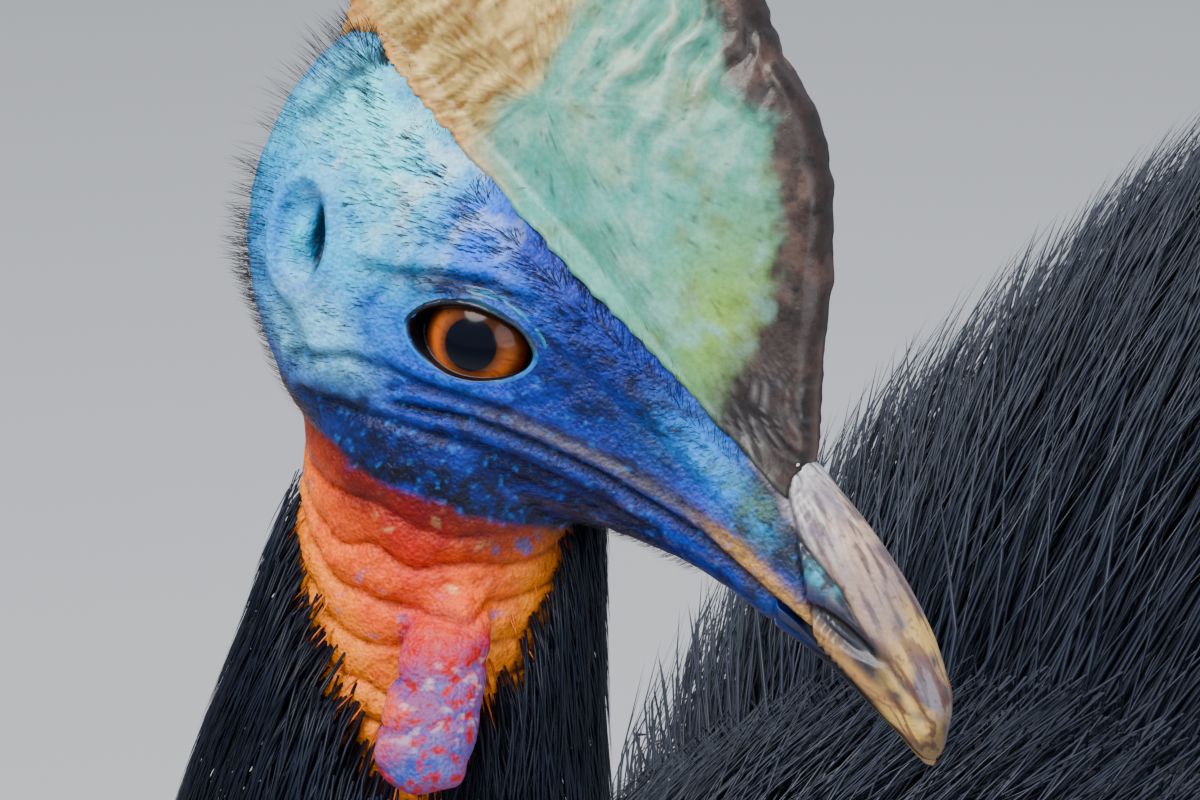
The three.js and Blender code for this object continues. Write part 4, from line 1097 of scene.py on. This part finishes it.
def casque_paint(q):
    """Turquoise-green sides with mottles, yellow-green low in front, golden fibres behind, brown keel, and
    painted highlight and shade on the front's folds and the bump's wrinkles.
    """
    u, v, w = q.T
    cloud, mottle = fractal(q, 14, 21), fractal(q, 3.4, 23)
    front, wave = casque_waves(q)
    paint = coated(len(q), (116, 166, 154), [
        ((84, 142, 122), 0.6 * smooth(mottle, -0.1, 0.5)),
        ((156, 190, 172), 0.55 * smooth(-mottle, 0.1, 0.6)),
        ((100, 178, 176), 0.5 * spot(u - 10, w - 32, 24, 16) * smooth(cloud, -0.4, 0.4)),
        ((142, 168, 84), 0.8 * spot(u - 38, w - 26, 13, 20) * smooth(mottle + cloud, -0.6, 0.5)),
        ((206, 214, 190), 0.45 * spot(u - 2, w - 62, 18, 22) * patchy(q * (1, 1, 0.35), 3, 25, 2, 0.0, 0.6)),
        ((120, 116, 62), 0.4 * patchy(q, 6, 27, 3, 0.3, 0.8)),
        # painted highlight on the crests of the front's folds, then painted shade in their troughs
        ((196, 210, 192, 1), 0.42 * front * smooth(wave, 0.45, 0.95)),
        ((58, 104, 82), 0.6 * front * smooth(-wave, 0.3, 0.9)),
    ])
    fibre = fractal(q @ FIBRE_TURN.T * (0.14, 1, 1), 1.2, 29)
    honey = coated(len(q), (168, 142, 84, 1.1), [
        ((226, 200, 150), 0.8 * smooth(fibre, 0.05, 0.6)),
        ((112, 76, 42), 0.75 * smooth(-fibre, 0.1, 0.6)),
    ])
    brown = coated(len(q), (46, 36, 33), [
        ((86, 68, 62), 0.7 * patchy(q, 7, 31, 3, 0.0, 0.5)),
        ((20, 16, 16), 0.7 * patchy(q, 4, 33, 3, 0.1, 0.6)),
        ((116, 96, 84), 0.55 * lump(np.hypot(v / 1.2, 1) - 1, 0.6) * smooth(w, 40, 10)),
    ])
    band = off_line(u, w, KEEL_LINE) + 1.6 * mottle
    paint = blend(paint, honey, smooth(3.5 * cloud - off_line(u, w, GOLD_LINE), -1.5, 3.5))
    paint = blend(paint, brown, smooth(band, -3.2, 0.6))
    bump, foot = spot(u - 51, w - 13, 6.5, 8), over_foot(u, w)
    return layered(paint, [
        ((66, 50, 40), 0.55 * lump(band + 3, 3) * smooth(w, 62, 20)),
        ((26, 24, 28, 1), 0.85 * bump),
        # painted highlight on the crests of the bump's wrinkles
        ((150, 144, 144, 1), 0.45 * bump * smooth(casque_wrinkles(q), 0.35, 0.95)),
        ((196, 132, 88), 0.5 * smooth(foot, 4.2 + 2 * cloud, 1) * smooth(u, -4, -18)),
        ((60, 74, 66), 0.6 * smooth(foot, 2.0, 0.4) * smooth(u, -10, 4)),
        ((44, 34, 28), 0.5 * patchy(q, 1.5, 35, 2, 0.6, 0.95)),
    ])


def make_casque():
    """A lens over the outline: its half thickness falls from the middle to the rim by the square of the share
    of the way out, and rounds off over the last of it. At its foot it is as wide as the head."""
    around, out, rim, middle, top = 520, 50, 0.93, 16.5, 5.5
    edge = casque_edge(around)
    centre = np.array([-12.0, 46.0])
    share = 1 - (1 - np.linspace(0.012, 1, out)) ** 1.5
    s = np.concatenate([share, share[::-1][1:]])[:, None]
    sign = np.where(np.arange(len(s)) < out, -1, 1)[:, None]
    u, w = np.moveaxis(centre + (edge - centre) * s[..., None], -1, 0)
    low = 5 + 7 * smooth(-edge[:, 0], 5, 58)
    half = low + (top - low) * smooth(edge[:, 1], 30, 95)
    flank = half + (middle - half) * (1 - np.minimum(s / rim, 1) ** 2)
    ending = np.sqrt(np.maximum(0, 1 - (np.maximum(0, s - rim) / (1 - rim)) ** 2))
    foot = over_foot(u, w)
    seat = (head_side(u, w) + 0.9) * smooth(foot, -0.6, 0.8) * smooth(foot, 26, 7)
    v = sign * np.maximum(np.where(s > rim, half * ending, flank), seat)
    v[out - 1] = 0
    flat = np.stack([u, v, w], -1).reshape(-1, 3)
    normal = unit((flat - (centre[0], 0, centre[1])) * (0.012, 0.12, 0.012))
    flat = flat + normal * casque_relief(flat)[:, None]
    verts, faces = outward(*closed_rings(flat.reshape(len(s), around, 3)))
    return verts, faces, casque_paint(verts)


def strands(tube, t, angle, long, width, lift, lie, rng):
    """Tapered three-sided strands: station s of 0 to 1 lies at t + long s cos(lie) / length along the tube
    and at angle + long s sin(lie) / radius round it, raised from the root's lift to the tip's."""
    stations, curl = 4, 0.03
    s = np.linspace(0, 1, stations)[None, :]
    radius = np.maximum(tube.radius(t), 20)[:, None]
    wave = rng.uniform(0, 6.3, len(t))[:, None]
    along = t[:, None] + long[:, None] * s * np.cos(lie)[:, None] / tube.length
    bow = curl * long[:, None] * np.sin(3 * s + wave) * s
    round_it = angle[:, None] + (long[:, None] * s * np.sin(lie)[:, None] + bow) / radius
    low, high = (height[:, None] for height in lift)
    spine = tube.point(along, round_it, low + (high - low) * s**0.6)
    return blades(spine, width, unit(spine - tube.track.read(np.clip(along, 0, 1))[..., :3]))


def blades(spine, width, out):
    """Three-sided blades round spines (count, stations, 3), from a root ring to one tip point, and how many
    points each has. out is the way that their ridge looks."""
    n, k = spine.shape[:2]
    tangent = unit(np.gradient(spine, axis=1))
    across = unit(np.cross(tangent, out))
    ridge = np.cross(across, tangent)
    s = np.linspace(0, 1, k)[None, :, None]
    half = (width / 2)[:, None, None] * (0.75 + 0.6 * s) * (1 - s**1.8) ** 0.8
    corners = np.stack([spine - across * half, spine + ridge * half * 0.55, spine + across * half], 2)
    verts = np.concatenate([corners[:, :-1].reshape(n, -1, 3), spine[:, -1:]], 1)
    per, last = verts.shape[1], (k - 2) * 3
    i, j = np.meshgrid(np.arange(k - 2), np.arange(3), indexing="ij")
    m = (j + 1) % 3
    quads = np.stack([i * 3 + j, i * 3 + m, (i + 1) * 3 + m, (i + 1) * 3 + j], -1).reshape(-1, 4)
    tip = [[last, last + 1, per - 1], [last + 1, last + 2, per - 1], [last + 2, last, per - 1]]
    offset = (np.arange(n) * per)[:, None, None]
    faces = [(quads + offset).reshape(-1, 4), (np.array([*tip, [2, 1, 0]]) + offset).reshape(-1, 3)]
    return verts.reshape(-1, 3), faces, per


def patches(t, angle, per, part):
    """A patch of the unwrap, 0.003 across, for each strand at its root's place in that part of it."""
    x, y, width, height = UNWRAP[part]
    along, around = 0.02 + 0.96 * np.clip(t, 0, 1), (angle / (2 * np.pi)) % 1
    root = np.stack([x + width * along, y + height * around], 1)
    k = np.arange(per)
    local = np.stack([(k // 3) / max(1, per // 3) * 0.003, (k % 3) * 0.0015], 1)
    return (root[:, None, :] + local[None]).reshape(-1, 2)


def scattered(tube, count, rng, start, end):
    """Roots spread evenly over a tube's skin: the share of them at t follows the radius there."""
    grid = np.linspace(start, end, 600)
    weight = np.cumsum(tube.radius(grid))
    t = np.interp(rng.uniform(0, weight[-1], count), weight, grid)
    return t, rng.uniform(0, 2 * np.pi, count)


def clumped(t, angle, tube, size):
    """Turns each strand's lie towards the middle of the clump that it belongs to."""
    radius = np.maximum(tube.radius(t), 20)
    cell_t = np.floor(t * tube.length / size)
    cell_a = np.floor(angle * radius / (size * 0.6))
    key = np.stack([cell_t, cell_a, 0 * t], 1) * 7.3 + 0.5
    middle = (cell_a + 0.5) * size * 0.6 / radius
    return 0.55 * (middle - angle) * radius / size + 0.10 * noise(key, 1.0, 5)


def plume(name, tube, count, rng, material, part, ends, long, width, depth, size=26, droop=0.0, allowed=None,
          tip=1.5):
    """Strands over a tube between two ends, in pieces of up to 11,000: long is their length at t of 0 and
    what it gains to t of 1, depth the coat's thickness at t, and part their place in the unwrap."""
    t, angle = scattered(tube, count, rng, *ends)
    if allowed is not None:
        keep = allowed(tube.point(t, angle, -0.5 * depth(t)))
        t, angle = t[keep], angle[keep]
    for k, chosen in enumerate(np.array_split(np.arange(len(t)), max(1, math.ceil(len(t) / 11000)))):
        ts, angles = t[chosen], angle[chosen]
        n = len(ts)
        lie = clumped(ts, angles, tube, size) - droop * np.cos(angles) + rng.normal(0, 0.05, n)
        reach = (long[0] + long[1] * ts) * rng.uniform(0.7, 1.12, n)
        thick = depth(ts)
        low = -thick - 1.0 * rng.uniform(0, 1, n)
        high = np.minimum(tip, -thick * rng.uniform(0, 1, n) ** 1.6 + 1.5)
        limit = np.minimum(1, 0.42 * tube.radius(ts) / np.maximum(thick, 0.1))
        verts, faces, per = strands(tube, ts, angles, reach, width * rng.uniform(0.7, 1.35, n),
                                    (low * limit, high * limit), lie, rng)
        piece(f"{name}_{k + 1}", verts, faces, material, bake=patches(ts, angles, per, part))


def ragged(p, size):
    """Height over the feathers' edge on the neck, uneven by size."""
    return collar_height(p) - size * noise(p, 4, 7)


def neck_depth(t):
    return 1 + 12 * smooth(t, 0.1, 0.3)


def collar_depth(t):
    return np.interp(t * NECK_TUBE.length, [0, 20, 47, 76], [3, 4, 9, 15])


def leg_rows(rows, forward):
    """The left leg's rows, moved by forward at the floor and not at all at the hip."""
    return [(x, y + forward * (1 - z / STANCE["hip"]), z, *sizes) for x, y, z, *sizes in rows]


def toe_rows(toe, rows, forward, below):
    """The rows of a toe or claw from those along it, and the way across it."""
    turn = math.radians(toe["turn"])
    way = (math.sin(turn), -math.cos(turn))
    x, y = STANCE["halfWidth"], STANCE["padY"] + forward
    made = [(x + q * way[0], y + q * way[1], z, w, up, below(z, up)) for q, z, w, up in rows]
    return made, (way[1], -way[0], 0)


def cuts(s, width):
    """The dark cuts between plates: s counts the plates."""
    return lump(np.minimum(s % 1, 1 - s % 1), width)


def plates(s, height):
    """Overlapping plates: each starts high and thins down to the next, with a cut between. s counts them."""
    return height * (0.5 - s % 1) - height * cuts(s, 0.12)


def make_leg(side, forward):
    """Shank and toes as one surface, with plates down the front and over the toes."""
    ankle, sole, scutes = 424, 40, 24
    parts = [closed_rings(Tube(leg_rows(SHANK_ROWS, forward)).skin(60, 40))]
    lines = []
    for toe in TOES.values():
        rows, across = toe_rows(toe, toe["rows"], forward, lambda z, up: z + 1.5)
        tube = Tube(rows, side=across)
        lines.append((tube.track.rows[0, :2], tube.track.rows[-1, :2], toe["scutes"]))
        parts.append(closed_rings(tube.skin(50, 32)))
    points, quads = remeshed(*joined(parts), 2.0)
    points = relaxed(points, quads, 3)
    normal = normals_of(points, quads)
    z = points[:, 2]
    down = scutes * np.clip((ankle - z) / (ankle - sole), 0, 1)
    frontal = smooth(-normal[:, 1], 0.15, 0.6) * smooth(z, 46, 60)
    lift = 0.35 * fractal(points, 4, 3, 2) + frontal * plates(down, 1.8)
    seam = frontal * cuts(down, 0.1)
    for first, last, count in lines:
        long = np.linalg.norm(last - first)
        way = (last - first) / long
        q = (points[:, :2] - first) @ way / long
        off = np.abs((points[:, :2] - first) @ np.array([-way[1], way[0]]))
        on = smooth(off, 17, 11) * smooth(normal[:, 2], 0.1, 0.55) * (q > 0.12) * (q < 1.05)
        on = on * smooth(z, 62, 46)
        lift += on * plates(q * count, 1.4)
        seam = np.maximum(seam, on * cuts(q * count, 0.12))
    lift *= smooth(z, 0.5, 6)
    points = points + normal * lift[:, None]
    points[:, 2] = np.maximum(points[:, 2], 0.02)
    paint = coated(len(points), (112, 104, 92), [
        ((150, 140, 118), 0.6 * patchy(points, 12, 7, 3, -0.1, 0.5)),
        ((74, 68, 62), 0.6 * patchy(points, 5, 9, 3, 0.1, 0.6)),
        ((40, 36, 32), 0.75 * seam),
    ])
    return points * (side, 1, 1), quads[:, ::-1] if side < 0 else quads, paint


def make_claw(toe, side, forward):
    rows, across = toe_rows(toe, toe["claw"], forward, lambda z, up: min(up, z - 0.5))
    verts, faces = closed_rings(Tube(rows, side=across).skin(48, 28) * (side, 1, 1))
    return verts, flipped(faces) if side < 0 else faces


def make_wing(side):
    """Bare quills that curve down over the flank: each a tapered tube on the wing's own arc."""
    x, y, z = 231, -50, 838
    quills = 5
    s = np.linspace(0, 1, 14)
    half = 2.5 * (1 - 0.75 * s)
    parts = []
    for spread in np.arange(quills) / (quills - 1):
        reach = 290 * (1 - 0.22 * abs(spread - 0.35)) * s
        fall = 0.45 + 0.5 * spread + 0.35 * s
        rows = np.stack([x + 2 + 26 * np.sin(s * 2.2) - 10 * s, y + 26 - 40 * spread + reach * np.cos(fall),
                         z - 4 - 12 * spread - reach * np.sin(fall), half, half, half], 1)
        parts.append(closed_rings(Tube(rows).skin(50, 14)))
    ball = ball_rings(20, 28, (6, 24, 12), 0.04) @ turned(-25, 0, 0).T + (x - 15, y + 10, z)
    verts, faces = closed_rings(ball)
    verts, faces = joined([*parts, (verts, flipped(faces))])
    return outward(verts * (side, 1, 1), faces)


class BuildSkin(bpy.types.Operator):
    """Bare skin of head, neck and wattle, with its lids"""

    bl_idname = "cassowary.skin"
    bl_label = "Bare Skin and Lids"

    def execute(self, context):
        head = context.scene.cassowary_head
        skin = finish_of("bare_skin", rough=0.48, vary=0.2, size=1300, bump=0.6, depth=0.0005, cells=1300,
                         subsurface=0.04, specular=0.3)
        points, quads, paint = make_skin(head)
        piece("skin", points, [quads], skin, ("head", "jaw", "neck_bare", "wattle"), paint)
        lid = finish_of("lid_skin", rough=0.36, vary=0.12, size=1600, bump=0.25, depth=0.0003)
        for name, side in SIDES.items():
            verts, quads, paint = make_lids(side)
            piece(f"lids_{name}", verts, [quads], lid, paint=paint)
        return {"FINISHED"}


class BuildEyes(bpy.types.Operator):
    """Eyeballs with iris and pupil"""

    bl_idname = "cassowary.eyes"
    bl_label = "Eyes"

    def execute(self, context):
        wet = finish_of("wet_eye", rough=0.16, vary=0.1, size=2500, bump=0, coat=0.12, spread=0.03,
                        specular=0.2)
        for name, side in SIDES.items():
            verts, faces, paint = make_eye(side, context.scene.cassowary_head)
            piece(f"eyeball_{name}", verts, faces, wet, (f"eye_{name}",), paint)
        return {"FINISHED"}


class BuildBill(bpy.types.Operator):
    """Horn of the bill"""

    bl_idname = "cassowary.bill"
    bl_label = "Bill"

    def execute(self, context):
        horn = finish_of("bill_horn", rough=0.4, vary=0.12, size=1500, stretch=(0.35, 1, 1), bump=0.3,
                         depth=0.0003, coat=0.15)
        for name, upper in (("bill_upper", True), ("bill_lower", False)):
            q = make_bill(upper)
            flat = q.reshape(-1, 3)
            middle = np.interp(flat[:, 0], [row[0] for row in HEAD_ROWS], [row[2] for row in HEAD_ROWS])
            away = flat - np.stack([flat[:, 0], 0 * middle, middle], 1)
            flat = flat + unit(away) * bill_relief(flat, upper)[:, None]
            verts, faces = outward(*closed_bill(flat.reshape(q.shape), upper))
            piece(name + "_horn", from_head(verts), faces, horn, (name,), bill_paint(verts, upper))
        return {"FINISHED"}


class BuildCasque(bpy.types.Operator):
    """Casque on the crown"""

    bl_idname = "cassowary.casque"
    bl_label = "Casque"

    def execute(self, context):
        horn = finish_of("casque_horn", rough=0.46, vary=0.14, size=900, bump=0.35, depth=0.0004, coat=0.1)
        verts, faces, paint = make_casque()
        piece("casque_shell", from_head(verts), faces, horn, ("casque",), paint)
        return {"FINISHED"}


class BuildBristles(bpy.types.Operator):
    """Short black hairs on the head and nape"""

    bl_idname = "cassowary.bristles"
    bl_label = "Head Bristles"

    def execute(self, context):
        rng = np.random.default_rng(11)
        count = context.scene.cassowary_head.bristles
        hair = finish_of("bristle", base=(0.006, 0.006, 0.009), rough=0.4, vary=0.3, size=800, bump=0)
        t, angle = scattered(HEAD_TUBE, count * 4, rng, 0.02, 0.66)
        q = HEAD_TUBE.point(t, angle, 0)
        u, v, w = q.T
        foot = over_foot(u, w)
        near, _ = lid_shape(u, w)
        bald = ((foot > 7) | ((foot > -1) & (np.abs(v) < 11)) | ((near < 1.35) & (np.abs(v) > 8))
                | (off_line(u, w, THROAT_EDGE) < -1))
        thick = (0.3 + 1.0 * smooth(-foot, 12, 0) + 0.6 * smooth(-w, 12, 22) + 0.3 * smooth(-u, 40, 56)
                 + 0.5 * spot(u + 3, w - 14, 24, 9))
        keep = ~bald & (rng.uniform(0, 1.3, len(u)) < thick)
        t, angle, q = t[keep][:count], angle[keep][:count], q[keep][:count]
        n = len(t)
        u, v, w = q.T
        rear = smooth(-u, 38, 60)
        long = rng.uniform(1.5, 3.8, n) + rear * rng.uniform(0, 6, n)
        long = long + smooth(-w, 22, 32) * rng.uniform(0, 4, n)
        out = unit(np.stack([(u + 15) * 0.25, v, w - 2], 1))
        rim = smooth(-over_foot(u, w), 4, 1)
        long = long + 2.2 * rim
        flow = np.stack([-1 + 0.5 * rim, 0 * u, -0.4 + 1.5 * rim], 1) + 0.22 * rng.normal(0, 1, (n, 3))
        flat = unit(flow - out * np.sum(flow * out, 1, keepdims=True))
        lie = unit(flat + out * (0.12 + 0.6 * rear)[:, None])
        s = np.linspace(0, 1, 3)[None, :, None]
        bow = out[:, None, :] * (0.3 * s * (1 - s) * 3)
        spine = q[:, None, :] + lie[:, None, :] * long[:, None, None] * s + bow
        ridge = np.broadcast_to(unit(spine[:, :1] - spine[:, :1].mean(0)), spine.shape)
        verts, faces, per = blades(spine, np.full(n, 0.15), ridge)
        bake = patches(t, angle, per, "head")
        piece("face_bristles", from_head(verts), faces, hair, bake=bake)
        return {"FINISHED"}


class BuildPlumage(bpy.types.Operator):
    """Body under the coat, and strands of plumage over neck, body and thighs"""

    bl_idname = "cassowary.plumage"
    bl_label = "Plumage"

    def execute(self, context):
        coat = context.scene.cassowary_coat
        dark = finish_of("under_coat", base=(0.004, 0.004, 0.006), rough=0.7, vary=0.3, size=300, bump=0.4)
        # the strands' base: near black plumage with blue added as painted sheen from the sky
        black = finish_of("plumage_strand", base=tuple(coat.black), rough=0.46, vary=0.35, size=60, bump=0,
                          sheen=0.02, specular=0.32)
        parts = [closed_rings(NECK_TUBE.skin(40, 40, lift=-13, start=0.03)),
                 closed_rings(TORSO_TUBE.skin(60, 56, lift=-38, start=0.03, end=0.97))]
        thighs = {}
        for name, side in SIDES.items():
            tube = Tube([(x * side, *rest) for x, *rest in leg_rows(THIGH_ROWS, STANCE[name])])
            thighs[name] = tube
            parts.append(closed_rings(tube.skin(30, 36, lift=-10)))
        points, quads = remeshed(*joined(parts), 9.0)
        covered = ("torso", "neck_upper", "neck_lower", "thigh_left", "thigh_right")
        piece("body_under_coat", relaxed(points, quads, 4), [quads], dark, covered)
        rng = np.random.default_rng(3)
        flame = finish_of("collar_tuft", base=(0.6, 0.105, 0.004), rough=0.5, vary=0.4, size=200, bump=0)
        plume("neck_plumage", NECK_TUBE, 18000, rng, black, "neck", (0.0, 0.55), (30, 60), coat.neck_width,
              neck_depth, size=12, allowed=lambda p: ragged(p, 2.5) < 1.5)
        plume("collar_tufts", NECK_TUBE, 3000, rng, flame, "neck", (0.0, 0.4), (5, 0), 0.5,
              lambda t: collar_depth(t) + 1, size=6, allowed=lambda p: np.abs(collar_height(p) - 3) < 3.5,
              tip=-3.0)
        plume("collar_plumage", NECK_TUBE, 30000, rng, black, "neck", (0.0, 0.5), (20, 0), 0.8,
              lambda t: collar_depth(t) - 1, size=7, allowed=lambda p: np.abs(ragged(p, 3) + 11) < 13)
        plume("neck_base_plumage", NECK_TUBE, 7000, rng, black, "neck", (0.4, 0.96), (90, 80), 1.2,
              neck_depth, size=20, tip=7)
        plume("body_plumage", TORSO_TUBE, coat.strands, rng, black, "torso", (0.01, 0.97), (190, -70),
              coat.body_width, lambda t: 38 + 0 * t, droop=0.25)
        for name, tube in thighs.items():
            plume(f"thigh_plumage_{name}", tube, coat.strands // 9, rng, black, "thigh", (0.15, 0.84),
                  (100, -40), 1.6, lambda t: 12 + 0 * t)
        return {"FINISHED"}


class BuildWings(bpy.types.Operator):
    """Wing stubs with bare quills"""

    bl_idname = "cassowary.wings"
    bl_label = "Wing Quills"

    def execute(self, context):
        quill = finish_of("quill", base=(0.012, 0.011, 0.012), rough=0.28, vary=0.25, size=400, bump=0.1)
        for name, side in SIDES.items():
            verts, faces = make_wing(side)
            piece(f"quills_{name}", verts, faces, quill, (f"wing_{name}",))
        return {"FINISHED"}


class BuildLegs(bpy.types.Operator):
    """Scaled legs and feet, with claws"""

    bl_idname = "cassowary.legs"
    bl_label = "Legs and Claws"

    def execute(self, context):
        scaled = finish_of("leg_scales", rough=0.55, vary=0.15, size=300, bump=0.5, depth=0.001, cells=260)
        horn = finish_of("claw_horn", base=(0.03, 0.024, 0.018), rough=0.32, vary=0.4, size=160,
                         stretch=(1, 0.3, 1), bump=0.25, depth=0.0004, coat=0.2)
        for name, side in SIDES.items():
            points, quads, paint = make_leg(side, STANCE[name])
            piece(f"leg_{name}", points, [quads], scaled, (f"shank_{name}", f"foot_{name}"), paint)
            for label, toe in TOES.items():
                verts, faces = make_claw(toe, side, STANCE[name])
                piece(f"talon_{label}_{name}", verts, faces, horn, (f"claw_{label}_{name}",))
        return {"FINISHED"}


# Right, up and back of the camera.
CAMERA_AXES = [(0.8192, 0.5736, 0), (-0.2514, 0.3591, 0.8988), (0.5155, -0.7363, 0.4384)]
# Lights: place from the head in metres, size, power and colour.
LIGHTS = [
    ("key", (-0.2, -0.9, 2.0), 1.8, 94, (1, 0.98, 0.95)),
    ("fill", (2.4, -0.9, 0.9), 2.2, 34, (0.9, 0.95, 1)),
    ("rim", (-1.2, 2.0, 1.6), 1.6, 60, (0.85, 0.92, 1)),
]


class BuildStage(bpy.types.Operator):
    """Pale floor, soft lights and camera"""

    bl_idname = "cassowary.stage"
    bl_label = "Floor, Lights and Camera"

    def execute(self, context):
        def placed(name, data):
            thing = bpy.data.objects.new(name, data)
            context.scene.collection.objects.link(thing)
            return thing

        head = HEAD_AT + (0, AHEAD, 0)
        right, up, back = (np.array(axis) for axis in CAMERA_AXES)
        camera = bpy.data.cameras.new("camera")
        camera.lens, camera.sensor_width = 190.8, 36
        camera.clip_start, camera.clip_end = 0.05, 60
        eye = context.scene.camera = placed("camera", camera)
        matrix = np.eye(4)
        matrix[:3, :3] = np.stack([right, up, back], 1)
        matrix[:3, 3] = (head + right * 12.75 - up * 11.71 + back * 1222.3) * MM
        eye.matrix_world = Matrix(matrix.tolist())
        floor = bpy.data.meshes.new("floor")
        floor.from_pydata([(-60, -60, 0), (60, -60, 0), (60, 60, 0), (-60, 60, 0)], [], [(0, 1, 2, 3)])
        pale = bpy.data.materials.new("floor_pale")
        pale.use_nodes = True
        shader = pale.node_tree.nodes["Principled BSDF"]
        shader.inputs["Base Color"].default_value = (0.62, 0.61, 0.6, 1)
        shader.inputs["Roughness"].default_value = 0.9
        floor.materials.append(pale)
        placed("floor", floor)
        for name, off, size, power, shade in LIGHTS:
            light = bpy.data.lights.new(name, "AREA")
            light.shape, light.size, light.energy, light.color = "DISK", size, power, shade
            lamp = placed(name, light)
            lamp.location = head * MM + off
            lamp.rotation_mode = "QUATERNION"
            lamp.rotation_quaternion = Vector(off).to_track_quat("Z", "Y")
        world = context.scene.world = bpy.data.worlds.new("studio")
        world.use_nodes = True
        sky = world.node_tree.nodes["Background"]
        sky.inputs["Color"].default_value = (0.72, 0.8, 0.95, 1)
        sky.inputs["Strength"].default_value = 0.55
        return {"FINISHED"}


class CassowaryPanel(bpy.types.Panel):
    """Lists the pieces of the bird and the sizes that may be changed"""

    bl_idname = "VIEW3D_PT_cassowary"
    bl_label = "Cassowary"
    bl_space_type = "VIEW_3D"
    bl_region_type = "UI"
    bl_category = "Cassowary"

    def draw(self, context):
        for settings in (context.scene.cassowary_head, context.scene.cassowary_coat):
            for name in settings.__annotations__:
                self.layout.prop(settings, name)
        for operator in OPERATORS:
            self.layout.operator(operator.bl_idname)


OPERATORS = [BuildSkin, BuildEyes, BuildBill, BuildCasque, BuildBristles, BuildPlumage, BuildWings, BuildLegs,
             BuildStage]
CLASSES = [CassowaryCoat, CassowaryHead, *OPERATORS, CassowaryPanel]


def register():
    for cls in CLASSES:
        bpy.utils.register_class(cls)
    bpy.types.Scene.cassowary_coat = bpy.props.PointerProperty(type=CassowaryCoat)
    bpy.types.Scene.cassowary_head = bpy.props.PointerProperty(type=CassowaryHead)


def unregister():
    del bpy.types.Scene.cassowary_head
    del bpy.types.Scene.cassowary_coat
    for cls in reversed(CLASSES):
        bpy.utils.unregister_class(cls)


def main():
    register()
    for operator in OPERATORS:
        group, name = operator.bl_idname.split(".")
        getattr(getattr(bpy.ops, group), name)()


if __name__ == "__main__":
    main()
